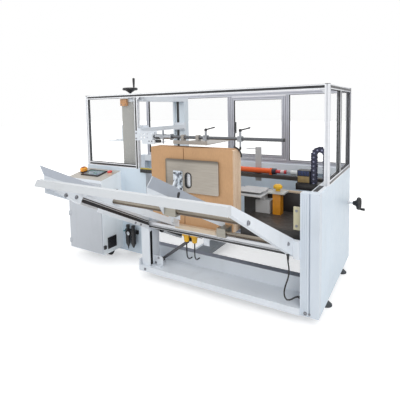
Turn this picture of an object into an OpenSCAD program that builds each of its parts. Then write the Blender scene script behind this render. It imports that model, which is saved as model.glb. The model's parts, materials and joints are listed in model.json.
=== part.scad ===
// Case erector: an open-fronted machine with an inclined blank magazine,
// a glazed guard, a height-adjustable crosshead and a side control cabinet.
// Front is -Y, the box outlet is at -X, and the origin is on the floor below the middle.

/* [Body] */
// Length from the left guard plane to the right end panel
body_len = 2165; // [1900:5:2600]
// Depth from the front leg to the rear panel
body_depth = 1050; // [950:5:1300]
// Height of the lower body
body_h = 800; // [760:5:900]
// Side of the square steel tube of the frame
tube = 60; // [40:5:70]
// Thickness of the sheet panels
sheet = 4; // [2:0.5:6]
// Height of the sill under the left end outlet
outlet_sill = 560; // [450:10:700]
// Right edge of the front panel, from the left guard plane
front_panel_w = 700; // [640:5:760]
// Width of the right front leg
leg_w = 110; // [90:5:140]
// Width of the groove in the right front leg
leg_groove = 8; // [4:1:14]

/* [Base] */
// Height of the levelling feet
foot_h = 58; // [45:1:80]
// Diameter of a levelling foot's pad
foot_d = 80; // [60:1:90]
// Length of the front beam and ledge, from the right front leg
ledge_len = 1243; // [1150:1:1300]
// Depth of the front ledge
ledge_depth = 200; // [150:5:220]
// Height of the front ledge
ledge_h = 42; // [30:1:60]
// Overhang of the ledge in front of the leg
ledge_out = 10; // [0:1:30]
// Height of the front beam's top above the floor
beam_top = 200; // [150:5:240]
// Width of the floor cross beam
cross_w = 130; // [100:5:160]
// Left edge of the floor cross beam, from the right end
cross_at = 1142; // [1100:1:1200]

/* [Guard] */
// Height of the guard above the body
guard_h = 635; // [550:5:800]
// Distance of the guard's front behind the leg
guard_setback = 240; // [220:5:280]
// Side of the guard's slotted aluminium profile
prof = 30; // [25:1:45]
// Width of a slot's mouth
slot_w = 8; // [6:0.5:10]
// Thickness of the acrylic panes
pane_t = 5; // [3:0.5:6]
// Left end of the front guard post, from the left guard plane
mid_post_at = 593; // [560:1:630]
// Place of the right end's middle post behind the guard's front
end_post_at = 380; // [300:5:480]
// Left rear post's edge, from the left guard plane
door_left = 1078; // [1000:1:1150]
// Clear width of the rear doorway
door_w = 534; // [480:1:600]
// Running gap round the rear door
door_gap = 5; // [5:0.5:8]
// Reach of the door handle behind the rear panel
handle_out = 45; // [35:1:60]

/* [Control cabinet] */
// Width of the cabinet
cab_w = 418; // [380:1:480]
// Height of the desk's front edge
desk_front_z = 719; // [660:1:740]
// Height of the desk's rear edge
desk_rear_z = 768; // [745:1:795]
// Height of the cabinet's floor
cab_z = 87; // [80:1:120]
// Diameter of the castor wheels
castor_d = 70; // [50:1:78]

/* [Portal and crosshead] */
// Width of the front column
col_w = 140; // [110:1:160]
// Depth of both columns
col_d = 70; // [50:1:80]
// Right face of the front column, from the left guard plane
col_at = 540; // [500:1:550]
// Height of the columns' tops
col_top = 1372; // [1300:1:1390]
// Height of the crosshead beam's underside
cross_z = 1110; // [1090:1:1150]
// Side of the crosshead beam
cross_bar = 36; // [30:1:45]
// Running gap of the slides
run_gap = 0.5; // [0.3:0.1:0.8]
// Diameter of the hold-down rod
rod_d = 22; // [16:1:28]
// Height of the hold-down rod
rod_z = 1095; // [1085:1:1110]
// Diameter of the top handwheel
wheel_d = 133; // [100:1:150]

/* [Magazine] */
// Reach of the magazine in front of the leg
mag_reach = 855; // [700:5:950]
// Slope of the magazine in degrees
mag_tilt = 26; // [22:0.5:28]
// Slope of the left rail in degrees
rail_tilt = 27.5; // [25:0.5:29]
// Height of the front bar's top
bar_top = 921; // [880:1:960]
// Height of the front bar
bar_h = 40; // [30:1:50]
// Width of the arms' folded channel
arm_w = 30; // [24:1:40]
// Height of the right arm where it meets the leg
arm_root_h = 110; // [90:1:130]
// Right face of the right arm, from the right end
arm_at = 148; // [140:1:170]
// Overall width of the magazine
mag_w = 1204; // [1120:1:1240]
// Side of the left rail's slotted profile
rail = 45; // [40:1:50]
// Height of the left guide's upright web, square to the slope
web_h = 90; // [80:1:110]
// Width of a guide's flared lip
lip_w = 62; // [40:1:80]
// Height of the right guide's low web, square to the slope
low_web_h = 40; // [30:1:60]
// Diameter of the guide rods
guide_rod_d = 26; // [20:1:30]

/* [Blanks and pusher] */
// Width of the stack of carton blanks
blank_w = 677; // [600:1:690]
// Height of the blanks
blank_h = 551; // [520:1:556]
// Thickness of the stack
blank_t = 125; // [60:1:130]
// Length of the blanks' top flaps
flap = 118; // [80:1:140]
// Width of the blanks' narrow panel
blank_side = 289; // [200:1:330]
// Width of the pusher plate
pusher_w = 433; // [380:1:480]
// Height of the pusher plate
pusher_h = 233; // [200:1:260]
// Clear gap between the pusher and the blanks
pusher_gap = 6; // [5:0.5:10]

/* [Side handwheel] */
// Reach of the side handwheel from the end panel
crank_reach = 125; // [110:1:150]
// Height of the side handwheel's shaft
crank_z = 530; // [450:5:600]
// Diameter of the side handwheel
crank_d = 100; // [80:1:120]
// Diameter of both handwheels' shafts
shaft_d = 20; // [16:1:24]

/* [Hidden] */
$fn = 48;

// Main planes of the machine
end_x = (body_len + crank_reach) / 2 - crank_reach;
left_x = end_x - body_len;
front_y = mag_reach - (mag_reach + body_depth + handle_out) / 2;
rear_y = front_y + body_depth;
guard_y = front_y + guard_setback;
top_z = body_h + guard_h;
// Inner faces of the sheet panels
in_end = end_x - sheet;
in_left = left_x + sheet;
in_rear = rear_y - sheet;
in_front = guard_y;
// Open seam between two sheet panels
seam = 2;
// Base levels
base_z = foot_h;
base_top = base_z + tube;
ledge_y = front_y - ledge_out;
beam_y = ledge_y + ledge_depth;
leg_x = end_x - leg_w;
ledge_x = leg_x - ledge_len;
cross_x = end_x - cross_at;
cross_top = base_z + ledge_h;
front_edge_x = left_x + front_panel_w;
// Guard stations
slot_lip = 2.2;
slot_in_w = 12;
slot_in = 5.3;
slot_depth = slot_lip + slot_in;
pane_in = 4;
mid_post_x = left_x + mid_post_at;
rail_bottom = body_h + prof;
rail_under = top_z - prof;
door_post_l = left_x + door_left;
rear_post_x = left_x + 79;
door_x0 = door_post_l + prof;
door_x1 = door_x0 + door_w;
end_post_y = guard_y + end_post_at;
// Cabinet planes
cab_x1 = left_x + cab_w;
cab_y0 = front_y + 5;
cab_y1 = guard_y - sheet;
desk_slope = atan((desk_rear_z - desk_front_z) / (cab_y1 - cab_y0));
// Portal stations
col_x1 = left_x + col_at;
col_x0 = col_x1 - col_w;
col_y = guard_y + prof + 30;
rear_col_w = col_w;
rear_col_x = mid_post_x - 80;
groove_x0 = rear_col_x + 22;
groove_x1 = rear_col_x + 75;
groove_d = 12;
rear_col_y = in_rear - tube - col_d;
screw_x = (col_x0 + col_x1) / 2;
screw_y = col_y + col_d / 2;
cross_x0 = mid_post_x + prof + 7;
cross_x1 = cross_x0 + cross_bar;
head_h = 40;
// Magazine stations
mag_t = tan(mag_tilt);
arm_x1 = end_x - arm_at;
arm_x0 = arm_x1 - arm_w;
mag_x0 = arm_x1 - mag_w;
bar_y0 = front_y - mag_reach;
bar_y1 = bar_y0 + arm_w;
arm_y1 = front_y + 15;
arm_top_root = bar_top - mag_t * (arm_y1 - bar_y1);
fold_z = bar_top + 22;
left_guide_len = 900;
left_web_x = mag_x0 + 42;
rail_x0 = left_web_x;
rail_x1 = rail_x0 + rail;
rail_y0 = bar_y1 + 225;
rail_z0 = bar_top - 146;
rail_len = 1210;
right_web_x = leg_x - 495;
right_fold_z = fold_z + 15;
right_y0 = bar_y1 + 40;
right_y1 = arm_y1 - 18;
// Blanks and pusher stations
rest_z = 476;
rest_h = 26;
feed_top = rest_z - rest_h;
feed_y = arm_y1;
blank_x0 = leg_x - 1117;
pusher_y = front_y + 8;
pusher_t = 6;
blank_y = pusher_y + pusher_t + pusher_gap;
pusher_x0 = blank_x0 + 142;
pusher_z0 = 714;
push_rail_x = blank_x0 + 235;
push_rail_w = 30;
push_rail_h = 40;
push_rail_z = bar_top - 16;
// Hold-down rod stations
rod_y = front_y + 100;
clamp_x = [blank_x0 + 59, blank_x0 + 431, blank_x0 + 694];
rod_x0 = blank_x0 - 68;
rod_x1 = blank_x0 + 987;
feeler_z = rest_z + blank_h + 15;
feeler_d = 12;
// Side handwheel and inner machinery stations
crank_y = in_rear - tube - 20;
inner_y = in_rear - 296;
inner_z = body_h - 89;
inner_bar = 30;
bed_z = body_h - 248;
bed_x = in_end - 536;
bed_y1 = front_y + 425;
shelf_z = body_h - 50;
shelf_t = 25;
shelf_y0 = guard_y + 250;
shelf_y1 = shelf_y0 + 100;

// Colours
white = [0.88, 0.90, 0.93];
grey = [0.66, 0.66, 0.66];
alu = [0.76, 0.77, 0.79];
black = [0.08, 0.08, 0.09];
kraft = [0.78, 0.62, 0.44];
steel = [0.70, 0.68, 0.64];
orange = [0.88, 0.37, 0.15];
yellow = [0.86, 0.66, 0.10];
beige = [0.72, 0.70, 0.58];
clear = [0.85, 0.92, 0.95, 0.3];
tan_c = [0.75, 0.62, 0.46];

// A block between two opposite corners
module box(a, b) {
    translate(a) cube(b - a);
}

// One T-slot, opening towards +X with its mouth on the Y axis
module t_slot() {
    translate([-slot_lip, -slot_w / 2]) square([slot_lip + 1, slot_w]);
    translate([-slot_depth, -slot_in_w / 2]) square([slot_in, slot_in_w]);
}

// Section of a square slotted profile of a given side
module slotted(side) {
    difference() {
        square(side, center = true);
        for (a = [0:90:270])
            rotate(a) translate([side / 2, 0]) t_slot();
    }
}

// Slotted bars along each axis, given by the low corner of their section
module post_z(x, y, z0, z1) {
    translate([x + prof / 2, y + prof / 2, z0]) linear_extrude(z1 - z0) slotted(prof);
}
module rail_x(x0, x1, y, z) {
    translate([x0, y + prof / 2, z + prof / 2]) rotate([90, 0, 90]) linear_extrude(x1 - x0) slotted(prof);
}
module rail_y(x, y0, y1, z) {
    translate([x + prof / 2, y0, z + prof / 2]) rotate([-90, 0, 0]) linear_extrude(y1 - y0) slotted(prof);
}

// A round bar along X
module rod_along_x(x0, x1, y, z, d) {
    translate([x0, y, z]) rotate([0, 90, 0]) cylinder(d = d, h = x1 - x0);
}

// An outline in the YZ plane, drawn out along X
module side_form(x0, x1, pts) {
    translate([x0, 0, 0]) rotate([90, 0, 90]) linear_extrude(x1 - x0) polygon(pts);
}

// Children placed in the slope's own frame: local Y runs down the slope
module on_slope(y, z, tilt) {
    translate([0, y, z]) rotate([-tilt, 0, 0]) children();
}

// Lengthwise beams of the lower body
module body_x_beams() {
    color(white) {
        box([ledge_x, beam_y, base_z], [in_end - tube, beam_y + tube, beam_top]);
        box([in_left + tube, in_front, base_z], [ledge_x - seam, in_front + tube, base_top]);
        box([in_left + tube, in_rear - tube, base_z], [in_end - tube, in_rear, base_top]);
        box([in_left + tube, in_front, body_h - tube], [front_edge_x - tube, in_front + tube, body_h]);
        box([in_left + tube, in_rear - tube, body_h - tube], [in_end - tube, in_rear, body_h]);
    }
}

// Crosswise beams of the lower body
module body_y_beams() {
    color(white) {
        box([in_end - tube, front_y + tube, base_z], [in_end, in_rear - tube, base_top]);
        box([in_end - tube, front_y + tube, body_h - tube], [in_end, in_rear - tube, body_h]);
        box([in_left, in_front + tube, base_z], [in_left + tube, in_rear - tube, base_top]);
        box([cross_x, beam_y + tube, base_z], [cross_x + cross_w, in_rear - tube, cross_top]);
    }
}

// Folded ledge along the front of the base, with a taller plate at its left end
module front_ledge() {
    top = base_z + ledge_h;
    end_t = 12;
    color(white) {
        difference() {
            box([ledge_x, ledge_y, base_z], [leg_x, beam_y, top]);
            box([ledge_x + sheet, ledge_y + sheet, base_z - 1],
                [leg_x - sheet, beam_y - sheet, top - sheet]);
        }
        box([ledge_x, ledge_y, top], [ledge_x + end_t, ledge_y + 70, top + 46]);
    }
}

// Uprights of the lower body; the right front one is a ribbed profile
module legs() {
    rib = 3;
    rib_pitch = 12;
    color(white) {
        difference() {
            box([leg_x, front_y, base_z], [end_x, front_y + tube, body_h]);
            translate([leg_x + (leg_w - leg_groove) / 2, front_y - 1, base_z - 1])
                cube([leg_groove, 12, body_h]);
            for (i = [1:3])
                translate([leg_x + i * rib_pitch, front_y - 1, base_z - 1]) cube([rib, rib, body_h]);
        }
        box([in_end - tube, in_rear - tube, base_z], [in_end, in_rear, body_h]);
        box([in_left, in_rear - tube, base_z], [in_left + tube, in_rear, body_h]);
        box([in_left, in_front, base_z], [in_left + tube, in_front + tube, body_h]);
        box([front_edge_x - tube, in_front, base_top], [front_edge_x, in_front + tube, body_h]);
    }
}

// Sheet panels of the lower body, with a seam between each two
module body_panels() {
    color(white) {
        difference() {
            box([in_end, front_y + tube, base_z], [end_x, in_rear - seam, body_h]);
            rod_along_x(in_end - 1, end_x + 1, crank_y, crank_z, shaft_d + 2 * run_gap);
        }
        box([left_x, in_rear, base_z], [end_x, rear_y, body_h]);
        box([left_x, in_front - sheet, base_z], [front_edge_x, in_front, body_h]);
        box([left_x, in_front + seam, base_z], [in_left, in_rear - seam, outlet_sill]);
    }
}

// Places of the levelling feet
feet = [
    [in_end - tube / 2 + 10, front_y + 300], [in_end - tube / 2 + 10, front_y + 840],
    [ledge_x + 50, beam_y + tube / 2], [ledge_x + 50, in_rear - tube / 2],
    [left_x + foot_d / 2 + 4, in_front + 60], [left_x + foot_d / 2 + 4, in_rear - 60]
];

// Adjustable feet: a cone-shaped pad on a threaded stem
module levelling_feet() {
    rim = 7;
    cone = 26;
    stem_d = 16;
    color(black) for (p = feet) translate([p[0], p[1], 0]) {
        cylinder(d = foot_d, h = rim);
        translate([0, 0, rim]) cylinder(d1 = foot_d, d2 = stem_d + 10, h = cone);
        cylinder(d = stem_d, h = foot_h);
    }
}

// Guard uprights: corner posts run full height, the others stop under the top rail
module guard_posts() {
    color(alu) {
        for (p = [[left_x, guard_y], [end_x - prof, guard_y],
                [rear_post_x, rear_y - prof], [end_x - prof, rear_y - prof]])
            post_z(p[0], p[1], body_h, top_z);
        post_z(mid_post_x, guard_y, body_h, rail_under);
        for (x = [door_post_l, door_x1])
            post_z(x, rear_y - prof, rail_bottom, rail_under);
        post_z(end_x - prof, end_post_y, rail_bottom, rail_under);
    }
}

// Guard rails along the machine
module guard_x_rails() {
    x0 = left_x + prof;
    x1 = end_x - prof;
    color(alu) {
        rail_x(x0, x1, guard_y, rail_under);
        rail_x(rear_post_x + prof, x1, rear_y - prof, rail_under);
        rail_x(rear_post_x + prof, x1, rear_y - prof, body_h);
        rail_x(x0, mid_post_x, guard_y, body_h);
    }
}

// Guard rails across the machine
module guard_y_rails() {
    y0 = guard_y + prof;
    y1 = rear_y - prof;
    color(alu) {
        rail_y(end_x - prof, y0, y1, rail_under);
        rail_y(end_x - prof, y0, y1, body_h);
    }
}

// Acrylic panes, standing in the slots of the profiles
module guard_panes() {
    z0 = rail_bottom - slot_depth;
    z1 = rail_under + pane_in;
    py = (prof - pane_t) / 2;
    color(clear) {
        box([left_x + prof - pane_in, guard_y + py, z0], [mid_post_x + pane_in, guard_y + prof - py, z1]);
        for (x = [[rear_post_x + prof, door_post_l], [door_x1 + prof, end_x - prof]])
            box([x[0] - pane_in, rear_y - prof + py, z0], [x[1] + pane_in, rear_y - py, z1]);
        for (y = [[guard_y + prof, end_post_y], [end_post_y + prof, rear_y - prof]])
            box([end_x - prof + py, y[0] - pane_in, z0], [end_x - py, y[1] + pane_in, z1]);
    }
}

// Rear door: hinge pin line and knuckle heights
pin_d = 8;
knuckle_d = 14;
knuckle_h = 24;
leaf_t = 4;
hinge_x = door_x1 - door_gap / 2;
hinge_y = rear_y + knuckle_d / 2;
hinge_z = [rail_bottom + 90, rail_under - 90 - 3 * knuckle_h];

// Fixed hinge halves on the right door post, with their pins
module hinge_leaves() {
    color(black) for (z = hinge_z) {
        for (k = [0, 2])
            translate([hinge_x, hinge_y, z + k * knuckle_h]) cylinder(d = knuckle_d, h = knuckle_h);
        translate([hinge_x, hinge_y, z]) cylinder(d = pin_d, h = 3 * knuckle_h);
        for (k = [0, 2])
            box([hinge_x, rear_y, z + k * knuckle_h],
                [door_x1 + prof - 4, rear_y + leaf_t, z + (k + 1) * knuckle_h]);
    }
}

// Frame of the rear door
module door_frame() {
    x0 = door_x0 + door_gap;
    x1 = door_x1 - door_gap;
    z0 = rail_bottom + door_gap;
    z1 = rail_under - door_gap;
    y = rear_y - prof;
    color(alu) {
        post_z(x0, y, z0, z1);
        post_z(x1 - prof, y, z0, z1);
        rail_x(x0 + prof, x1 - prof, y, z0);
        rail_x(x0 + prof, x1 - prof, y, z1 - prof);
    }
}

// Pane of the rear door
module door_pane() {
    py = (prof - pane_t) / 2;
    x0 = door_x0 + door_gap + prof - pane_in;
    x1 = door_x1 - door_gap - prof + pane_in;
    z0 = rail_bottom + door_gap + prof - slot_depth;
    z1 = rail_under - door_gap - prof + pane_in;
    color(clear) box([x0, rear_y - prof + py, z0], [x1, rear_y - py, z1]);
}

// Handle and moving hinge halves of the rear door
module door_fittings() {
    x = door_x0 + door_gap + prof / 2;
    zc = rail_bottom + 281;
    grip = 110;
    foot_z = grip / 2 - 8;
    color(black) {
        for (s = [-1, 1])
            box([x - 8, rear_y, zc + s * foot_z - 8],
                [x + 8, rear_y + handle_out - 8, zc + s * foot_z + 8]);
        box([x - 8, rear_y + handle_out - 14, zc - grip / 2], [x + 8, rear_y + handle_out, zc + grip / 2]);
        for (z = hinge_z) difference() {
            union() {
                translate([hinge_x, hinge_y, z + knuckle_h + run_gap])
                    cylinder(d = knuckle_d, h = knuckle_h - 2 * run_gap);
                box([hinge_x - 30, rear_y, z + knuckle_h + run_gap],
                    [hinge_x, rear_y + leaf_t, z + 2 * knuckle_h - run_gap]);
            }
            translate([hinge_x, hinge_y, z]) cylinder(d = pin_d + 2 * run_gap, h = 3 * knuckle_h);
        }
    }
}

// Control cabinet with its sloping desk
module control_cabinet() {
    color(white) side_form(left_x, cab_x1, [
        [cab_y0, cab_z], [cab_y1, cab_z], [cab_y1, desk_rear_z], [cab_y0, desk_front_z]
    ]);
}

// Cabinet door, proud of the front
module cabinet_door() {
    edge = 10;
    color(grey) box(
        [left_x + edge, cab_y0 - 6, cab_z + edge], [cab_x1 - edge, cab_y0, desk_front_z - 2.5 * edge]);
}

// Children placed on the desk, with local Z square to it; along runs up the slope
module on_desk(x, along) {
    translate([x, cab_y0, desk_front_z]) rotate([desk_slope, 0, 0]) translate([0, along, 0]) children();
}

// Touch screen in its bezel
module operator_panel() {
    size = [212, 120];
    edge = 14;
    color(black) on_desk(left_x + 93, 68) difference() {
        cube([size[0], size[1], 10]);
        translate([edge, edge, 8]) cube([size[0] - 2 * edge, size[1] - 2 * edge, 5]);
    }
}

// Lamp button and stop button on the desk
module control_buttons() {
    color(yellow) on_desk(left_x + 60, 138) {
        cylinder(d = 44, h = 14);
        translate([0, 0, 14]) cylinder(d1 = 58, d2 = 56, h = 22);
        translate([0, 0, 36]) cylinder(d1 = 56, d2 = 34, h = 14);
    }
    color("red") on_desk(cab_x1 - 49, 154) {
        cylinder(d = 34, h = 14);
        translate([0, 0, 14]) cylinder(d1 = 46, d2 = 40, h = 14);
    }
}

// Louvred fan cover on the cabinet's right side
module vent_grille() {
    size = 96;
    slats = 6;
    pitch = (size - 16) / slats;
    color(black) translate([cab_x1, cab_y0 + 45, cab_z + 40]) difference() {
        cube([8, size, size]);
        for (i = [0:slats - 1])
            translate([3, 8, 8 + i * pitch + pitch * 0.2]) cube([6, size - 16, pitch * 0.6]);
    }
}

// Castors under the cabinet
module castors() {
    color(black) for (x = [left_x + 85, cab_x1 - 123])
        translate([x, cab_y0 + 195, castor_d / 2]) {
            rotate([0, 90, 0]) cylinder(d = castor_d, h = 28, center = true);
            for (s = [-1, 1])
                translate([s * 18 - 2, -16, 0]) cube([4, 32, cab_z - castor_d / 2]);
            rotate([0, 90, 0]) cylinder(d = 12, h = 40, center = true);
            translate([-20, -16, cab_z - castor_d / 2 - 5]) cube([40, 32, 5]);
        }
}

// Air filter, regulator and gauge on the front panel
module air_unit() {
    x = front_edge_x - 165;
    y = in_front - sheet;
    color(black) {
        box([x - 50, y - 14, 230], [x + 70, y, 262]);
        for (dx = [-22, 38]) translate([x + dx, y - 36, 150]) {
            cylinder(d = 42, h = 84);
            translate([0, 0, 84]) cylinder(d = 50, h = 34);
            translate([0, 0, -22]) cylinder(d1 = 24, d2 = 42, h = 22);
            translate([0, 0, 118]) cylinder(d = 30, h = 26);
        }
        translate([x + 8, y - 36, 246]) rotate([90, 0, 0]) cylinder(d = 36, h = 32);
    }
}

// Columns of the portal; the rear one has a wide slide groove
module portal_columns() {
    color(grey) box([col_x0, col_y, base_z], [col_x1, col_y + col_d, col_top]);
    color(white) difference() {
        box([rear_col_x, rear_col_y, base_z], [rear_col_x + rear_col_w, rear_col_y + col_d, col_top]);
        box([groove_x0, rear_col_y - 1, base_z - 1], [groove_x1, rear_col_y + groove_d, col_top + 1]);
    }
}

// Head beam across the two columns, with the screw's boss
module portal_head() {
    x0 = col_x1 - 26;
    x1 = rear_col_x + rear_col_w;
    cap = 28;
    boss = 20;
    color(white) difference() {
        union() {
            box([x0, guard_y + prof + 2, col_top], [x1, rear_col_y + col_d, col_top + head_h]);
            box([col_x0, col_y, col_top], [x0, col_y + col_d + 5, col_top + cap]);
            translate([screw_x, screw_y, col_top + cap]) cylinder(d = 44, h = boss);
        }
        translate([screw_x, screw_y, col_top - 1]) cylinder(d = shaft_d + 2 * run_gap, h = cap + boss + 2);
    }
}

// Bearing block at the top of the front column
module screw_bearing() {
    size = [72, 22, 60];
    z0 = col_top - 35;
    bolt_d = 14;
    color(orange) difference() {
        translate([col_x0, col_y - size[1], z0]) cube(size);
        for (dx = [14, 58])
            translate([col_x0 + dx, col_y - size[1] + 6, z0 + 12])
                rotate([90, 0, 0]) cylinder(d = bolt_d, h = 10);
    }
}

// Bearing of the side handwheel's shaft, inside the end panel
module crank_bearing() {
    r = 18;
    depth = 24;
    color(grey) difference() {
        box([in_end - depth, crank_y - r, crank_z - r], [in_end, crank_y + r, crank_z + r]);
        rod_along_x(in_end - depth - 1, in_end + 1, crank_y, crank_z, shaft_d + 2 * run_gap);
    }
}

// Hub, spokes and rim of a handwheel of a given diameter, standing on the XY plane
module handwheel(d) {
    hub_h = 26;
    rim = 13;
    cylinder(d = 34, h = hub_h);
    translate([0, 0, hub_h - rim]) {
        rotate_extrude() translate([d / 2 - rim / 2, rim / 2]) circle(d = rim);
        for (a = [30, 150, 270])
            rotate(a) translate([0, -5, 2]) cube([d / 2 - rim / 2, 10, 8]);
    }
}

// Top handwheel with its shaft and upright grip
module top_handwheel() {
    hub_z = col_top + 94;
    grip_h = top_z + 140 - hub_z - 30;
    sink = hub_z - col_top - 10;
    color(black) translate([screw_x, screw_y, hub_z]) {
        handwheel(wheel_d);
        translate([0, 0, -20]) cylinder(d1 = 24, d2 = 34, h = 20);
        translate([0, 0, -sink]) cylinder(d = shaft_d, h = sink + 4);
        rotate(-15) translate([wheel_d / 2 - 7, 0, 18]) {
            cylinder(d = 9, h = 24);
            translate([0, 0, 12]) cylinder(d1 = 16, d2 = 22, h = grip_h);
        }
    }
}

// Side handwheel on its shaft through the end panel
module side_handwheel() {
    hub_out = 55;
    color(black) translate([end_x, crank_y, crank_z]) rotate([0, 90, 0]) {
        translate([0, 0, -40]) cylinder(d = shaft_d, h = hub_out + 42);
        translate([0, 0, hub_out]) handwheel(crank_d);
        translate([crank_d / 2 - 7, 0, hub_out + 18]) {
            cylinder(d = 8, h = 20);
            translate([0, 0, 10]) cylinder(d1 = 14, d2 = 20, h = crank_reach - hub_out - 28);
        }
    }
}

// Crosshead: slide collar, rear slide, beam, perforated bracket, shelf and rod holder
module crosshead_beam() {
    z0 = cross_z - 15;
    z1 = cross_z + 55;
    g = run_gap;
    collar = 12;
    plate_y1 = guard_y - 9;
    plate_y0 = plate_y1 - 6;
    plate_z0 = rod_z - 50;
    slide_y0 = rear_col_y - g - 25;
    shelf_x0 = rod_x0 - 66;
    shelf_x1 = rod_x0 + 60;
    shelf_front = rod_y - 22;
    back_y = col_y + col_d + g;
    color(white) {
        box([cross_x0, plate_y1, cross_z], [cross_x1, slide_y0, cross_z + cross_bar]);
        box([col_x1 + g, col_y + 5, z0], [cross_x0, back_y + collar, z1]);
        box([col_x0 - g - 16, back_y, z0], [col_x1 + g, back_y + collar, z1]);
        box([col_x0 - g - 16, col_y + 5, cross_z - 88], [col_x0 - g, back_y + collar, z1]);
        box([groove_x0 + 10, slide_y0, z0], [cross_x1, rear_col_y - g, z1]);
        box([groove_x0 + g, rear_col_y - g - 1, z0], [groove_x1 - g, rear_col_y + groove_d - 2, z1]);
        difference() {
            box([cross_x0 - 22, plate_y0, plate_z0], [cross_x0 + 206, plate_y1, cross_z + 15]);
            for (x = [0:4], z = [0:1])
                translate([cross_x0 + 40 + x * 34, plate_y0 - 1, plate_z0 + 26 + z * 30])
                    rotate([-90, 0, 0]) cylinder(d = 14, h = 8);
        }
        box([shelf_x0, shelf_front, plate_z0 - sheet], [shelf_x1, plate_y1, plate_z0]);
        box([shelf_x0, shelf_front, plate_z0 - 10], [shelf_x1, shelf_front + sheet, plate_z0 + 24]);
        difference() {
            box([rod_x0, shelf_front, plate_z0], [rod_x0 + 40, rod_y + 22, rod_z + 22]);
            rod_along_x(rod_x0 - 1, rod_x0 + 41, rod_y, rod_z, rod_d);
        }
    }
    color(grey) {
        box([col_x0 - 202, col_y + 10, cross_z - 88], [col_x0 - g - 16, col_y + 60, cross_z - 84]);
        box([col_x0 - 96, col_y + 10, cross_z - 84], [col_x0 - g - 16, col_y + 60, cross_z - 70]);
    }
}

// Hold-down rod along the machine
module hold_down_rod() {
    color(black) rod_along_x(rod_x0, rod_x1, rod_y, rod_z, rod_d);
}

// Clamps on the rod with their upright feelers; the first is a long sleeve with a collar
module rod_clamps() {
    block = [30, 36, 36];
    sleeve_d = 36;
    sleeve = [clamp_x[0] - 67, clamp_x[0] + 73];
    collar = [12, 48];
    stem = 30;
    color(alu) difference() {
        union() {
            for (x = clamp_x) {
                translate([x, rod_y, rod_z]) cube(block, center = true);
                translate([x, rod_y, rod_z]) cylinder(d = 16, h = block[2] / 2 + stem);
                translate([x, rod_y, feeler_z]) cylinder(d = feeler_d, h = rod_z - feeler_z);
            }
            rod_along_x(sleeve[0], sleeve[1], rod_y, rod_z, sleeve_d);
            rod_along_x(sleeve[1], sleeve[1] + collar[0], rod_y, rod_z, collar[1]);
        }
        rod_along_x(rod_x0, rod_x1, rod_y, rod_z, rod_d);
    }
}

// Clamping levers of two clamps, and the hook beside the stack under the third feeler
module clamp_levers() {
    hook_r = 70;
    hook_w = 8;
    hook_sweep = 58;
    centre = [blank_x0 + blank_w - 37, rest_z + blank_h - 47];
    stem_top = rod_z + 48;
    hub_d = 14;
    hub_h = 22;
    color(black) {
        for (i = [1, 2]) translate([clamp_x[i], rod_y, stem_top]) {
            cylinder(d = 20, h = 18);
            translate([0, 0, 9]) rotate([0, 76, 0]) cylinder(d1 = 10, d2 = 8, h = 74);
        }
        translate([centre[0], rod_y + hook_w / 2, centre[1]]) rotate([90, 0, 0])
            rotate_extrude(angle = hook_sweep)
                translate([hook_r - hook_w / 2, 0]) square(hook_w);
        translate([clamp_x[2], rod_y, feeler_z - hub_h]) cylinder(d = hub_d, h = hub_h);
    }
}

// Grey hold-down plate hung under the rod, folded up along its front edge
module hold_down_plate() {
    z = rod_z - 48;
    x0 = blank_x0 + 171;
    x1 = blank_x0 + 457;
    front = rod_y - 30;
    hanger = 22;
    color(grey) {
        difference() {
            box([x0, front, z], [x1, rod_y + 330, z + sheet]);
            translate([clamp_x[1], rod_y, z - 1]) cylinder(d = feeler_d + 2 * run_gap, h = sheet + 2);
        }
        box([x0, front, z], [x1, front + sheet, z + 26]);
        for (x = [x0 + 60, x1 - 100]) difference() {
            box([x, rod_y - 18, z + sheet], [x + hanger, rod_y + 18, rod_z + 18]);
            rod_along_x(x - 1, x + hanger + 1, rod_y, rod_z, rod_d);
        }
    }
}

// Underside of the left rail at a given Y
function rail_under_z(y) =
    rail_z0 - (y - rail_y0) * tan(rail_tilt) - rail / cos(rail_tilt);

// Front left post, its top cut to the slope of the rail, with a long groove and a foot bracket
module front_post() {
    w = 78;
    d = 122;
    y0 = front_y + 10;
    x0 = rail_x0 - 26;
    x1 = x0 + w;
    z0 = base_z + ledge_h;
    groove = [y0 + 8, y0 + 35];
    plate_y = y0 + 48;
    color(white) {
        difference() {
            side_form(x0, x1, [
                [y0, z0], [y0 + d, z0], [y0 + d, rail_under_z(y0 + d)], [y0, rail_under_z(y0)]
            ]);
            box([x1 - 12, groove[0], z0 - 1], [x1 + 1, groove[1], rail_under_z(y0) - 36]);
        }
        translate([0, plate_y + 6, 0]) rotate([90, 0, 0]) linear_extrude(6) polygon([
            [x1, z0], [x1 + 86, z0], [x1 + 86, z0 + 58], [x1 + 72, z0 + 72], [x1, z0 + 72]
        ]);
        box([x1, plate_y - 30, z0], [x1 + 86, plate_y, z0 + 6]);
    }
}

// Slotted rail on the magazine's left
module left_rail() {
    color(alu) on_slope(rail_y0, rail_z0, rail_tilt)
        translate([(rail_x0 + rail_x1) / 2, 0, -rail / 2]) rotate([-90, 0, 0])
            linear_extrude(rail_len) slotted(rail);
}

// White end piece between the front bar and the left rail
module left_rail_end() {
    c = rail / cos(rail_tilt);
    s = rail * sin(rail_tilt);
    color(white) side_form(rail_x0, rail_x1, [
        [bar_y1, bar_top - 18], [bar_y1, bar_top - bar_h],
        [rail_y0 - s, rail_z0 - rail * cos(rail_tilt)], [rail_y0, rail_z0]
    ]);
}

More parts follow.
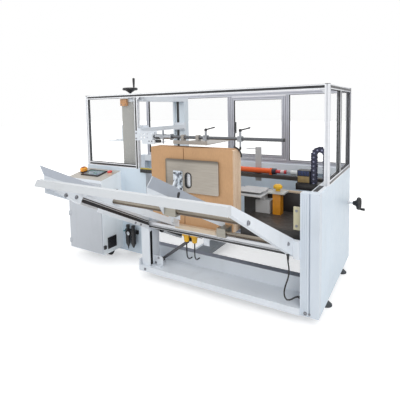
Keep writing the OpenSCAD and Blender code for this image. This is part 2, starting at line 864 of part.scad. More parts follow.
// Right arm: a tapered folded channel, open on the inside, with an end flange
module right_arm() {
    t = sheet;
    root_low = arm_top_root - arm_root_h;
    low = bar_top - bar_h;
    color(white) {
        difference() {
            side_form(arm_x0, arm_x1, [
                [bar_y1, low], [arm_y1, root_low], [arm_y1, arm_top_root], [bar_y1, bar_top]]);
            side_form(arm_x0 - 1, arm_x1 - t, [
                [bar_y1 - 1, low + 1.5 * t], [arm_y1 - t, root_low + 1.2 * t],
                [arm_y1 - t, arm_top_root - 1.2 * t], [bar_y1 - 1, bar_top - t]]);
        }
        box([arm_x1, arm_y1 - 30, root_low], [leg_x, arm_y1, arm_top_root]);
    }
}

// Front bar of the magazine: a folded channel, open below, its left end cut on the slant
module front_bar() {
    t = sheet;
    slant = 15;
    low = bar_top - bar_h;
    color(white) difference() {
        translate([0, bar_y1, 0]) rotate([90, 0, 0]) linear_extrude(arm_w) polygon([
            [mag_x0 - slant, low], [arm_x1, low], [arm_x1, bar_top], [mag_x0 + slant, bar_top]]);
        box([mag_x0 + slant + t, bar_y0 + t, low - 1], [arm_x1 - t, bar_y1 - t, bar_top - t]);
    }
}

// Section of a guide, drawn with Y downwards; flare is 1 or -1 for the lip's side
module guide_section(flare, web) {
    lean = 35;
    dx = lip_w * sin(lean);
    dz = lip_w * cos(lean);
    polygon([
        [0, web], [flare * sheet, web], [flare * sheet, 0],
        [flare * (sheet + dx), -dz], [flare * dx, -dz], [0, -1]
    ]);
}

// One guide along the slope, both ends cut upright
module guide_run(x, fold, y0, y1, flare, web) {
    lead = 2 * lip_w;
    run = (y1 - y0) / cos(mag_tilt) + 2 * lead;
    intersection() {
        on_slope(y0, fold - (y0 - bar_y1) * mag_t, mag_tilt) translate([x, -lead, 0]) rotate([-90, 0, 0])
            linear_extrude(run) guide_section(flare, web);
        box([x - 2 * lip_w, y0, 0], [x + 2 * lip_w, y1, top_z]);
    }
}

// Height of the right guide's fold at a given Y
function right_fold(y) = right_fold_z - (y - bar_y1) * mag_t;

// Left guide, and the right one with its carrier plate; the right one rests on its lower clamp
module magazine_guides() {
    hole = guide_rod_d + 2 * run_gap;
    x = right_web_x;
    up = guide_rod_at[0];
    plate = [up[1] - 56, up[1] + 120];
    drop = 100;
    corner = 30;
    color(white) {
        guide_run(left_web_x, fold_z, bar_y1, bar_y1 + left_guide_len, -1, web_h);
        difference() {
            union() {
                guide_run(x, right_fold_z, right_y0, right_y1, 1, low_web_h);
                side_form(x, x + sheet, [
                    [plate[0], right_fold(plate[0]) - 2], [plate[1], right_fold(plate[1]) - 2],
                    [plate[1], right_fold(plate[1]) - drop],
                    [plate[0] + corner, right_fold(plate[0] + corner) - drop],
                    [plate[0], right_fold(plate[0]) - drop + corner]
                ]);
            }
            box([x - 1, low_clamp_y0 - 1, 0], [x + 2 * lip_w, arm_y1, low_clamp_top]);
            rod_along_x(x - 5, x + 10, up[1], up[2], hole);
        }
    }
}

// Guide rods: left end, and place in Y and Z
guide_rod_at = [
    [push_rail_x + push_rail_w, bar_y1 + 185, bar_top - 126],
    [right_web_x - 5, arm_y1 - 85, rest_z + 29]
];
// Lower clamp block of the right guide
low_clamp_y0 = arm_y1 - 110;
low_clamp_y1 = arm_y1 - 18;
low_clamp_top = rest_z + 60;

// Rods that carry the right guide from the right arm
module guide_rods() {
    color(steel) for (r = guide_rod_at)
        rod_along_x(r[0], arm_x1 - sheet, r[1], r[2], guide_rod_d);
}

// Clamp blocks that hold the right guide on its rods
module guide_clamps() {
    up = guide_rod_at[0];
    low = guide_rod_at[1];
    r = 22;
    x0 = right_web_x + sheet;
    x1 = x0 + 70;
    color(grey) {
        difference() {
            box([x0, up[1] - r, up[2] - r], [x1, up[1] + r, up[2] + r]);
            rod_along_x(x0 - 1, x1 + 1, up[1], up[2], guide_rod_d);
        }
        difference() {
            box([right_web_x - 11, low_clamp_y0, rest_z + 4],
                [right_web_x + 52, low_clamp_y1, low_clamp_top]);
            rod_along_x(low[0], right_web_x + 53, low[1], low[2], guide_rod_d);
        }
    }
}

// Top of the pusher's rail at a given Y
function push_rail_top(y) = push_rail_z - (y - bar_y1) * mag_t;

// Inclined rail of the pusher, from the front bar to the blank rest
module pusher_rail() {
    y1 = front_y - ledge_out;
    c = push_rail_h / cos(mag_tilt);
    color(alu) side_form(push_rail_x, push_rail_x + push_rail_w, [
        [bar_y1, push_rail_z], [y1, push_rail_top(y1)],
        [y1, push_rail_top(y1) - c], [bar_y1, push_rail_z - c]
    ]);
}

// Slotted cross beam at the magazine's foot
module feed_beam() {
    color(alu) translate([rail_x1, feed_y + rail / 2, feed_top - rail / 2]) rotate([90, 0, 90])
        linear_extrude(leg_x - rail_x1) slotted(rail);
}

// Bar on which the blanks stand
module blank_rest() {
    y0 = front_y - ledge_out;
    color(tan_c) box([blank_x0 + 227, y0, feed_top], [blank_x0 + 557, blank_y + blank_t, rest_z]);
}

// Stack of flat carton blanks with slotted flaps
module carton_blanks() {
    gap = 6;
    z1 = rest_z + blank_h;
    slot_x = blank_x0 + blank_side;
    color(kraft) difference() {
        box([blank_x0, blank_y, rest_z], [blank_x0 + blank_w, blank_y + blank_t, z1]);
        for (z = [rest_z - 1, z1 - flap])
            translate([slot_x, blank_y - 1, z]) cube([gap, blank_t + 2, flap + 1]);
    }
}

// Pusher plate with its long hand hole
module pusher_plate() {
    hole = [pusher_x0 + 193, pusher_z0 + 87];
    r = 12;
    color(steel) translate([0, pusher_y + pusher_t, 0]) rotate([90, 0, 0])
        linear_extrude(pusher_t) difference() {
            union() {
                translate([pusher_x0, pusher_z0 + r]) square([pusher_w, pusher_h - 2 * r]);
                translate([pusher_x0 + r, pusher_z0]) square([pusher_w - 2 * r, pusher_h]);
                for (x = [r, pusher_w - r], z = [r, pusher_h - r])
                    translate([pusher_x0 + x, pusher_z0 + z]) circle(r);
            }
            for (s = [-1, 1]) translate([hole[0], hole[1] + s * 28]) circle(d = 46);
            translate([hole[0] - 23, hole[1] - 28]) square([46, 56]);
        }
}

// Pusher carriage: base and gusset on the plate, leg, and a shoe riding on the inclined rail
module pusher_carriage() {
    x = push_rail_x + push_rail_w / 2;
    leg_y = pusher_y - 70;
    shoe = 60;
    wall = 8;
    g = run_gap;
    w = push_rail_w + 2 * g;
    base = [77, 5, 145];
    color(white) {
        translate([x - base[0] / 2, pusher_y - base[1], pusher_z0 + 5]) cube(base);
        side_form(x - 5, x + 5, [
            [pusher_y - 1, pusher_z0 + 5], [pusher_y - 1, pusher_z0 + 150],
            [leg_y + 30, pusher_z0 + 90], [leg_y - 12, pusher_z0 + 30], [leg_y - 12, pusher_z0 + 5]
        ]);
    }
    color(black) {
        translate([x, leg_y, push_rail_top(leg_y) + wall])
            cylinder(d = 18, h = pusher_z0 + 5 - push_rail_top(leg_y) - wall);
        on_slope(leg_y, push_rail_top(leg_y), mag_tilt) difference() {
            translate([x - w / 2 - wall, -shoe / 2, -24]) cube([w + 2 * wall, shoe, 24 + wall + 4]);
            translate([x - w / 2, -shoe / 2 - 1, -30]) cube([w, shoe + 2, 30 + g]);
        }
    }
}

// Dark table at the right of the interior
module bed_plate() {
    color([0.3, 0.29, 0.28]) box([bed_x, front_y + tube, bed_z - 10], [in_end, bed_y1, bed_z]);
}

// Inner beam behind the blanks, on its post
module inner_beam() {
    post_w = 40;
    color([0.25, 0.25, 0.26]) {
        box([cross_x, inner_y, inner_z], [in_end - tube, inner_y + tube, inner_z + inner_bar]);
        box([cross_x, inner_y, cross_top], [cross_x + post_w, inner_y + tube, inner_z]);
    }
}

// Transfer cylinder stations: left end of the barrel, its length, and the centre line
cyl_x = in_end - 876;
cyl_len = 322;
cyl_y = inner_y + tube / 2;
cyl_foot = 28;
cyl_z = inner_z + inner_bar + cyl_foot;

// Transfer cylinder: barrel with two end caps, on two feet
module transfer_cylinder() {
    cap = 20;
    color(orange) {
        rod_along_x(cyl_x, cyl_x + cyl_len, cyl_y, cyl_z, 44);
        for (x = [cyl_x, cyl_x + cyl_len - cap]) {
            rod_along_x(x, x + cap, cyl_y, cyl_z, 52);
            box([x, cyl_y - 18, inner_z + inner_bar], [x + cap, cyl_y + 18, cyl_z]);
        }
    }
}

// Rod end, coupler and guide barrel beside the transfer cylinder
module cylinder_coupling() {
    x = cyl_x + cyl_len;
    color(white) {
        rod_along_x(x, x + 33, cyl_y, cyl_z, 48);
        rod_along_x(x + 33, x + 118, cyl_y, cyl_z, 30);
        rod_along_x(x + 118, x + 158, cyl_y, cyl_z, 14);
        rod_along_x(x + 158, x + 238, cyl_y, cyl_z, 40);
        box([x + 208, cyl_y - 18, inner_z + inner_bar], [x + 234, cyl_y + 18, cyl_z]);
    }
}

// Upright plate behind the transfer cylinder, with a thin feeler
module side_plate() {
    y = inner_y + tube;
    x0 = in_end - 716;
    x1 = x0 + 52;
    top = inner_z + 251;
    reach = 85;
    color(grey) {
        box([x0, y, inner_z - 40], [x1, y + 10, top]);
        rod_along_x(x0 - reach, x0, y + 5, top - 16, 8);
    }
}

// Forming plate on its pedestal, with a smaller sheet above it
module forming_plate() {
    x0 = in_end - 686;
    x1 = in_end - 432;
    y0 = front_y + 220;
    y1 = bed_y1 + 45;
    foot = [in_end - 511, front_y + 310];
    foot_size = [105, 90, 89];
    neck = [in_end - 486, front_y + 330];
    plate_z = bed_z + 130;
    plate_t = 8;
    color([0.78, 0.80, 0.80]) {
        box([x0, y0, plate_z], [x1, y1, plate_z + plate_t]);
        translate([foot[0], foot[1], bed_z]) cube(foot_size);
        translate([neck[0], neck[1], bed_z]) cube([40, 50, plate_z - bed_z]);
        translate([neck[0], neck[1], plate_z]) cube([40, 50, 24]);
        box([x0 + 50, y0 + 40, plate_z + 20], [x1 - 24, y1 - 25, plate_z + 24]);
    }
}

// Suction unit on the table: body, plate, stem and dome
module suction_unit() {
    x = bed_x + 180;
    y = front_y + 340;
    body = [56, 60, 150];
    plate_t = 10;
    stem = 23;
    cup = 14;
    color(yellow) translate([x, y, bed_z]) {
        translate([-body[0] / 2, -body[1] / 2, 0]) cube(body);
        translate([-52, -50, body[2]]) cube([112, 100, plate_t]);
        translate([0, 0, body[2] + plate_t]) cylinder(d = 34, h = stem);
        translate([0, 0, body[2] + plate_t + stem]) {
            cylinder(d = 64, h = cup);
            translate([0, 0, cup]) cylinder(d1 = 64, d2 = 40, h = 12);
        }
    }
}

// Black shelf on the end beam for the drag chain and its valve box
module chain_shelf() {
    x0 = in_end - tube - 216;
    color(black) {
        box([x0, shelf_y0, shelf_z - shelf_t], [in_end - tube, shelf_y1, shelf_z]);
        box([x0 + 8, shelf_y0 + 14, shelf_z], [x0 + 98, shelf_y1 - 14, shelf_z + 92]);
    }
}

// Drag chain standing in a loop of side links on the shelf
module drag_chain() {
    w = 34;
    d = 40;
    y = shelf_y0 + 35;
    x1 = in_end - tube - 18;
    x0 = x1 - 82;
    r = (x1 - x0) / 2;
    top = body_h + 200 - r - w / 2;
    pitch = 30;
    notch = 3;
    color(black) difference() {
        union() {
            for (x = [x0, x1]) box([x - w / 2, y, shelf_z], [x + w / 2, y + d, top]);
            translate([x0 + r, y + d, top]) rotate([90, 0, 0])
                rotate_extrude(angle = 180) translate([r - w / 2, 0]) square([w, d]);
        }
        for (x = [x0, x1], z = [shelf_z + pitch:pitch:top - notch])
            box([x - w / 2 - 1, y - 1, z], [x + w / 2 + 1, y + notch, z + notch]);
    }
}

// Vacuum valve stations under the feed beam
valve_x = [blank_x0 + 267, blank_x0 + 335];
valve_y = feed_y + 4;
valve_z1 = feed_top - rail;
valve_block = [52, 34, 16];
valve_cup = 40;
valve_z0 = valve_z1 - valve_block[2] - valve_cup;

// Vacuum valves under the feed beam
module vacuum_valves() {
    color(yellow) for (x = valve_x) {
        translate([x, valve_y, valve_z1 - valve_block[2]]) cube(valve_block);
        translate([x + valve_block[0] / 2, valve_y + valve_block[1] / 2, valve_z0])
            cylinder(d1 = 34, d2 = 44, h = valve_cup);
    }
}

// A point of a cubic curve
function bend(a, b, c, d, t) =
    a * pow(1 - t, 3) + 3 * b * t * pow(1 - t, 2) + 3 * c * t * t * (1 - t) + d * pow(t, 3);

// An air hose from a point above, leaving downwards, to a wall at larger Y
module hose(a, b, d) {
    lead = 12;
    a1 = a - [0, 0, lead];
    b1 = b - [0, lead, 0];
    curve = [for (i = [0:10]) bend(a1, a1 - [0, 0, 70], b1 - [0, 70, 0], b1, i / 10)];
    tube_along(concat([a], curve, [b]), d, 10);
}

// Manifold behind the feed beam with its strut to the ledge, and the hoses of the two valves
module air_lines() {
    hose_d = 10;
    strut_d = 14;
    y0 = feed_y + rail;
    y1 = y0 + 16;
    lug_x = valve_x[0] + 39;
    low = [rail_x1 + 23, beam_y - 42, base_z + ledge_h];
    foot = [30, 20, 24];
    high = [lug_x, (y0 + y1) / 2, valve_z0 + 2];
    color(black) {
        box([blank_x0 + 115, y0, valve_z1 - 25], [blank_x0 + 407, y1, feed_top - 18]);
        box([lug_x - 14, y0, valve_z0 - 8], [lug_x + 14, y1, feed_top - 18]);
        translate(low - [foot[0] / 2, foot[1] / 2, 0]) cube(foot);
        tube_along([low + [0, 0, foot[2] / 2], high], strut_d, 16);
        for (i = [0, 1])
            hose([valve_x[i] + valve_block[0] / 2, valve_y + valve_block[1] / 2, valve_z0],
                [valve_x[i] - 30, beam_y, beam_top - 40 + 8 * i], hose_d);
    }
}

// Beige plate on the inner side of the right front leg
module leg_plate() {
    size = [48, 8, 140];
    color(beige) translate([leg_x - size[0], front_y + 30, bed_z + 13]) cube(size);
}

// Route of the hanging cable, from the right arm to the right leg
cable_d = 9;
cable_pts = [
    [857, -180, 415], [857, -180, 400], [859, -178, 380], [861, -175, 360], [861, -172, 340],
    [859, -170, 320], [855, -168, 300], [850, -167, 280], [843, -166, 260], [837, -165, 240],
    [832, -164, 220], [829, -163, 200], [829, -161, 180], [833, -158, 163], [842, -152, 150],
    [854, -139, 146], [864, -122, 146], [873, -106, 149], [882, -96, 151], [890, -92, 152],
    [896, -92, 152]
];

// One ring of a swept tube
function ring(p, dir, d, n) =
    let (
        t = dir / norm(dir),
        u0 = cross(t, [0, 1, 0.2]),
        u = u0 / norm(u0),
        v = cross(t, u)
    )
    [for (i = [0:n - 1]) p + d / 2 * (cos(360 * i / n) * u + sin(360 * i / n) * v)];

// A round tube swept along a list of points
module tube_along(pts, d, n) {
    m = len(pts);
    rings = [for (i = [0:m - 1])
        ring(pts[i], pts[min(i + 1, m - 1)] - pts[max(i - 1, 0)], d, n)];
    points = [for (r = rings) each r];
    sides = [for (i = [0:m - 2], j = [0:n - 1])
        [i * n + j, (i + 1) * n + j, (i + 1) * n + (j + 1) % n, i * n + (j + 1) % n]];
    ends = [[for (j = [0:n - 1]) j], [for (j = [n - 1:-1:0]) (m - 1) * n + j]];
    polyhedron(points, concat(sides, ends));
}

// Cable that hangs below the right arm
module cable() {
    color(black) tube_along(cable_pts, cable_d, 10);
}

// Glands of the cable at the arm and at the leg
module cable_glands() {
    a = cable_pts[0];
    b = cable_pts[len(cable_pts) - 1];
    low = bar_top - bar_h;
    root_low = arm_top_root - arm_root_h;
    color(black) {
        difference() {
            translate(a) cylinder(d = 18, h = 60);
            side_form(arm_x0 - 5, arm_x1 + 5, [
                [bar_y1, low], [arm_y1, root_low], [arm_y1, bar_top], [bar_y1, bar_top]]);
        }
        rod_along_x(b[0], leg_x, b[1], b[2], 18);
    }
}

body_x_beams();
body_y_beams();
front_ledge();
legs();
body_panels();
levelling_feet();
guard_posts();
guard_x_rails();
guard_y_rails();
guard_panes();
hinge_leaves();
control_cabinet();
cabinet_door();
operator_panel();
control_buttons();
vent_grille();
castors();
air_unit();
portal_columns();
portal_head();
screw_bearing();
crank_bearing();
front_post();
left_rail();
left_rail_end();
right_arm();
front_bar();
magazine_guides();
guide_rods();
guide_clamps();
pusher_rail();
feed_beam();
blank_rest();
carton_blanks();
bed_plate();
inner_beam();
transfer_cylinder();
cylinder_coupling();
side_plate();
forming_plate();
suction_unit();
drag_chain();
chain_shelf();
vacuum_valves();
cable();
cable_glands();
top_handwheel();
side_handwheel();
door_frame();
door_pane();
door_fittings();
crosshead_beam();
hold_down_rod();
rod_clamps();
clamp_levers();
hold_down_plate();
pusher_plate();
pusher_carriage();
leg_plate();
air_lines();
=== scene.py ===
import json
import math
import random

import bmesh
import bpy
from mathutils import Matrix, Vector


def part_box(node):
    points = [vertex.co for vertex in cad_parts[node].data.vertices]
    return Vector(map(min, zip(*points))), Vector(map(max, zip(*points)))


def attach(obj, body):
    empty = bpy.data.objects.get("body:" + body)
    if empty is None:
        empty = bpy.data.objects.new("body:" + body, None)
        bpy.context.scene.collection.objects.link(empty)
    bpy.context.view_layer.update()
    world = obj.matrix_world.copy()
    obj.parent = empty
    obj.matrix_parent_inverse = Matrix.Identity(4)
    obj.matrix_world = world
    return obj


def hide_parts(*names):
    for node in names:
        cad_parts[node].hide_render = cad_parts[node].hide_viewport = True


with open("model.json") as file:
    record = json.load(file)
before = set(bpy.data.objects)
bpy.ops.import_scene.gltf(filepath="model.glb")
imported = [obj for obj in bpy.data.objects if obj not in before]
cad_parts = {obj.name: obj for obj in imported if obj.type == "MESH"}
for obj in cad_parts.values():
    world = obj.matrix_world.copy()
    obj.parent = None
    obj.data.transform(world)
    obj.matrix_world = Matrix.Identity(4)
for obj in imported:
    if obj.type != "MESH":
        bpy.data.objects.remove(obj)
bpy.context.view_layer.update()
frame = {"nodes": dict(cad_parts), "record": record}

NODES = frame["nodes"]
scene = bpy.context.scene
scene.view_settings.view_transform = "Standard"


# Camera at the photograph's viewpoint
CAM_AT = (1.483, -2.18, 1.3)
CAM_YAW, CAM_PITCH, CAM_ROLL = 32.15, -4.58, -1.16
CAM_SENSOR, CAM_LENS = 36, 32.25
CAM_SHIFT = (0.01525, -0.1565)
cam_data = bpy.data.cameras.new("camera")
cam_data.sensor_width = CAM_SENSOR
cam_data.lens = CAM_LENS
cam_data.shift_x, cam_data.shift_y = CAM_SHIFT
cam = bpy.data.objects.new("camera", cam_data)
scene.collection.objects.link(cam)
cam.matrix_world = (
    Matrix.Translation(CAM_AT)
    @ Matrix.Rotation(math.radians(CAM_YAW), 4, "Z")
    @ Matrix.Rotation(math.radians(90 + CAM_PITCH), 4, "X")
    @ Matrix.Rotation(math.radians(CAM_ROLL), 4, "Z")
)
scene.camera = cam


# Materials
AXIS_X, AXIS_Y, AXIS_Z = 0, 1, 2
FAR = 2  # past every place in metres and every share of a normal
FACES = 0.7  # share of the normal above which a face counts as facing an axis
FULL_WHITE = (1, 1, 1, 1)  # leaves a colour as it is when multiplied with it


def srgb(r, g, b):
    """Linear colour of an 8-bit screen colour."""
    def lin(v):
        v /= 255
        return v / 12.92 if v <= 0.04045 else ((v + 0.055) / 1.055) ** 2.4
    return lin(r), lin(g), lin(b), 1.0


def grey(v):
    return v, v, v, 1


def shade(col, k):
    return tuple(min(1.0, c * k) for c in col[:3]) + (1.0,)


class Mat:
    """A node material: noise-driven colour, roughness and bump on a Principled shader."""

    def __init__(self, name):
        self.mat = bpy.data.materials.new(name)
        self.mat.use_nodes = True
        self.tree = self.mat.node_tree
        self.bsdf = self.tree.nodes["Principled BSDF"]
        self.coords = self.node("ShaderNodeTexCoord").outputs["Object"]

    def node(self, kind, **settings):
        n = self.tree.nodes.new(kind)
        for key, value in settings.items():
            setattr(n, key, value)
        return n

    def link(self, a, b):
        self.tree.links.new(a, b)

    def scaled(self, stretch):
        m = self.node("ShaderNodeMapping")
        m.inputs["Scale"].default_value = stretch
        self.link(self.coords, m.inputs["Vector"])
        return m.outputs["Vector"]

    def noise(self, scale, detail=3.0, stretch=None):
        n = self.node("ShaderNodeTexNoise")
        n.inputs["Scale"].default_value = scale
        n.inputs["Detail"].default_value = detail
        self.link(self.scaled(stretch) if stretch else self.coords, n.inputs["Vector"])
        return n.outputs["Fac"]

    def ramp(self, fac, stops, sharp=False):
        r = self.node("ShaderNodeValToRGB")
        if sharp:
            r.color_ramp.interpolation = "CONSTANT"
        while len(r.color_ramp.elements) < len(stops):
            r.color_ramp.elements.new(0.5)
        for e, (at, col) in zip(r.color_ramp.elements, stops):
            e.position = at
            e.color = col
        self.link(fac, r.inputs["Fac"])
        return r.outputs["Color"]

    def mix(self, a, b, fac, blend="MIX"):
        m = self.node("ShaderNodeMix", data_type="RGBA", blend_type=blend)
        for value, socket in ((fac, m.inputs[0]), (a, m.inputs[6]), (b, m.inputs[7])):
            if isinstance(value, bpy.types.NodeSocket):
                self.link(value, socket)
            else:
                socket.default_value = value
        return m.outputs[2]

    def range(self, fac, low, high, start=0.3, stop=0.7):
        r = self.node("ShaderNodeMapRange")
        for name, value in (("From Min", start), ("From Max", stop), ("To Min", low), ("To Max", high)):
            r.inputs[name].default_value = value
        self.link(fac, r.inputs["Value"])
        return r.outputs["Result"]

    def along(self, axis):
        """The place along one axis of the CAD frame, in metres."""
        s = self.node("ShaderNodeSeparateXYZ")
        self.link(self.coords, s.inputs[0])
        return s.outputs[axis]

    def facing(self, axis):
        """The surface normal's share along one axis of the CAD frame."""
        s = self.node("ShaderNodeSeparateXYZ")
        self.link(self.node("ShaderNodeTexCoord").outputs["Normal"], s.inputs[0])
        return s.outputs[axis]

    def size(self, value):
        n = self.node("ShaderNodeMath", operation="ABSOLUTE")
        self.link(value, n.inputs[0])
        return n.outputs[0]

    def within(self, value, low, high=FAR):
        """1 where a value lies between two limits, else 0."""
        over = self.node("ShaderNodeMath", operation="GREATER_THAN")
        under = self.node("ShaderNodeMath", operation="LESS_THAN")
        for n, limit in ((over, low), (under, high)):
            self.link(value, n.inputs[0])
            n.inputs[1].default_value = limit
        return self.both(over.outputs[0], under.outputs[0])

    def both(self, a, b):
        n = self.node("ShaderNodeMath", operation="MULTIPLY")
        self.link(a, n.inputs[0])
        self.link(b, n.inputs[1])
        return n.outputs[0]

    def shaft(self, xs, ys):
        """1 inside an upright shaft between two places along X and two along Y, else 0."""
        return self.both(self.within(self.along(AXIS_X), *xs), self.within(self.along(AXIS_Y), *ys))

    def colour(self, socket):
        self.link(socket, self.bsdf.inputs["Base Color"])
        return self

    def rough(self, fac, low, high):
        self.link(self.range(fac, low, high), self.bsdf.inputs["Roughness"])
        return self

    def bump(self, height, strength, distance):
        b = self.node("ShaderNodeBump")
        b.inputs["Strength"].default_value = strength
        b.inputs["Distance"].default_value = distance
        self.link(height, b.inputs["Height"])
        self.link(b.outputs["Normal"], self.bsdf.inputs["Normal"])
        return self

    def set(self, **sockets):
        for name, value in sockets.items():
            self.bsdf.inputs[name.replace("_", " ")].default_value = value
        return self


def paint_colour(m, col, wear):
    blotch = m.ramp(m.noise(2.3, 4), [(0.32, shade(col, 1 - wear)), (0.68, shade(col, 1 + wear * 0.4))])
    smear = m.ramp(m.noise(11, 6, (1, 1, 0.25)), [(0.55, FULL_WHITE), (0.75, (0.94, 0.94, 0.935, 1))])
    return m.mix(blotch, smear, 1.0, "MULTIPLY")


def painted(name, col, low=0.32, high=0.5, wear=0.05, bump=0.12, layers=()):
    """Powder coat: orange-peel bump, faint blotches and handling marks.
    Each layer is another colour and a function of the material that says where it lies."""
    m = Mat(name)
    base = paint_colour(m, col, wear)
    for other, where in layers:
        base = m.mix(base, paint_colour(m, other, wear), where(m))
    m.colour(base)
    m.rough(m.noise(35, 3), low, high)
    return m.bump(m.noise(900, 2), bump, 0.0006).mat


def metal(name, col, low, high, grain, stretch, wear=0.08, metallic=0.85, layers=()):
    """Drawn or brushed metal with streaks along one direction, and other tones laid where a layer says."""
    m = Mat(name)
    streak = m.noise(grain, 5, stretch)

    def tone(c):
        return m.ramp(streak, [(0.3, shade(c, 1 - wear)), (0.7, shade(c, 1 + wear))])

    base = tone(col)
    for other, where in layers:
        base = m.mix(base, tone(other), where(m))
    m.colour(base)
    m.rough(m.noise(grain * 0.6, 4, stretch), low, high)
    m.set(Metallic=metallic)
    return m.bump(streak, 0.08, 0.0004).mat


def plastic(name, col, low=0.3, high=0.5, grain=700, bump=0.2, bands=None):
    """Moulded plastic: fine spark-eroded grain and slight scuffs.
    bands, if given, is an axis, its start and length, and colour stops along it."""
    m = Mat(name)
    tone = m.ramp(m.noise(24, 5), [(0.35, shade(col, 0.82)), (0.7, shade(col, 1.22))])
    if bands:
        axis, start, length, stops = bands
        place = m.range(m.along(axis), 0, 1, start, start + length)
        wash = m.ramp(m.noise(24, 5), [(0.35, grey(0.85)), (0.7, FULL_WHITE)])
        tone = m.mix(m.ramp(place, stops, sharp=True), wash, 1.0, "MULTIPLY")
    m.colour(tone)
    m.rough(m.noise(60, 4), low, high)
    return m.bump(m.noise(grain, 2), bump, 0.0005).mat


def acrylic(name):
    """Clear sheet with a faint tint and a few dull patches."""
    m = Mat(name)
    col = srgb(232, 242, 243)
    m.colour(m.ramp(m.noise(3, 2), [(0.3, shade(col, 0.97)), (0.7, col)]))
    m.rough(m.noise(14, 4), 0.03, 0.12)
    return m.set(Alpha=0.03, IOR=1.49).mat


BLANK_FOOT, BLANK_TOP = 0.476, 1.027  # heights of the stack's foot and top
SCORE, SCORE_HALF = 0.214, 0.0025  # a score line's place and half width, as shares of the blank's height
STACK_MID = 0.15  # half width of the stack's middle, where the slot's own walls lie


def board(name, col):
    """Kraft board: fibres, mottled liner, faint flute lines, score lines of the flaps and pale cut ends."""
    m = Mat(name)
    mottle = m.ramp(m.noise(7, 6), [(0.3, shade(col, 0.93)), (0.7, shade(col, 1.04))])
    fibre = m.ramp(m.noise(260, 4, (1, 1, 0.2)), [(0.35, (0.9, 0.89, 0.87, 1)), (0.6, FULL_WHITE)])
    tone = m.mix(mottle, fibre, 0.7, "MULTIPLY")
    stops = [(0, FULL_WHITE)]
    for at in (SCORE, 1 - SCORE):
        stops += [(at - SCORE_HALF, (0.84, 0.82, 0.8, 1)), (at + SCORE_HALF, FULL_WHITE)]
    lines = m.ramp(m.range(m.along(AXIS_Z), 0, 1, BLANK_FOOT, BLANK_TOP), stops, sharp=True)
    cut = m.ramp(m.noise(420, 2, (1, 1, 0.05)), [(0.35, srgb(226, 196, 164)), (0.65, srgb(246, 224, 200))])
    ends = m.both(m.within(m.size(m.facing(AXIS_X)), FACES), m.within(m.size(m.along(AXIS_X)), STACK_MID))
    m.colour(m.mix(m.mix(tone, lines, 0.5, "MULTIPLY"), cut, ends))
    m.rough(m.noise(90, 3), 0.75, 0.92)
    flute = m.node("ShaderNodeTexWave", wave_type="BANDS", bands_direction="X")
    flute.inputs["Scale"].default_value = 40
    m.link(m.coords, flute.inputs["Vector"])
    return m.bump(flute.outputs["Fac"], 0.06, 0.0006).mat


def screen(name):
    """Lit display: a panel of plain blocks in quiet colours."""
    m = Mat(name)
    brick = m.node("ShaderNodeTexBrick")
    for key, value in (("Color1", srgb(128, 136, 160)), ("Color2", srgb(120, 168, 150)),
                       ("Mortar", srgb(92, 98, 118)), ("Scale", 14), ("Mortar Size", 0.03)):
        brick.inputs[key].default_value = value
    m.link(m.coords, brick.inputs["Vector"])
    wash = m.ramp(m.noise(40, 3), [(0.3, grey(0.9)), (0.7, FULL_WHITE)])
    m.colour(m.mix(brick.outputs["Color"], wash, 1.0, "MULTIPLY"))
    m.rough(m.noise(20, 2), 0.08, 0.16)
    return m.mat


SHOE_TOP, TAIL_TOP = 0.7185, 0.6  # heights at which the pusher carriage's finishes meet


def carriage(name):
    """Welded bracket above, coloured with painted glints on grey; black moulded shoe below it, light tail at
    the foot.
    """
    m = Mat(name)
    painted_glint = m.ramp(m.noise(34, 2), [
        (0.4, srgb(120, 126, 136)), (0.5, srgb(196, 206, 216)), (0.62, srgb(226, 233, 240))])
    black = m.ramp(m.noise(24, 5), [(0.35, srgb(26, 26, 28)), (0.7, srgb(36, 36, 39))])
    tail = m.ramp(m.noise(24, 5), [(0.35, srgb(196, 200, 204)), (0.7, srgb(214, 218, 222))])
    height = m.along(AXIS_Z)
    m.colour(m.mix(m.mix(tail, black, m.within(height, TAIL_TOP)), painted_glint, m.within(height, SHOE_TOP)))
    m.rough(m.noise(60, 4), 0.28, 0.45)
    return m.bump(m.noise(700, 2), 0.15, 0.0005).mat


WHITE = srgb(224, 230, 237)
# Black painted into narrow grooves as their shade
SHADE_BLACK = srgb(22, 22, 26)
DRAWN = (0.05, 1, 1)  # streaks along X
MATS = {
    "white_paint": painted("white_paint", WHITE),
    "grey_paint": painted("grey_paint", srgb(186, 188, 190), 0.35, 0.55),
    "dark_steel": painted("dark_steel", srgb(66, 61, 58), 0.35, 0.6, 0.2),
    "aluminium": metal("aluminium", srgb(206, 208, 212), 0.3, 0.45, 160, DRAWN, metallic=0.6),
    "bright_steel": metal("bright_steel", srgb(182, 174, 162), 0.3, 0.42, 220, DRAWN),
    "black_plastic": plastic("black_plastic", srgb(30, 30, 33)),
    "rubber": plastic("rubber", srgb(34, 34, 35), 0.6, 0.8, 400),
    "acrylic": acrylic("acrylic"),
    "kraft_board": board("kraft_board", srgb(198, 157, 117)),
    "tan_bar": painted("tan_bar", srgb(214, 196, 172), 0.45, 0.6, 0.07),
    "beige_paint": painted("beige_paint", srgb(196, 190, 160), 0.35, 0.5),
    "orange_paint": painted("orange_paint", srgb(226, 95, 40), 0.3, 0.5, 0.1),
    "yellow_plastic": plastic("yellow_plastic", srgb(224, 172, 28), 0.25, 0.4),
}
ZINC = metal("zinc_screws", srgb(146, 148, 154), 0.3, 0.45, 220, DRAWN)
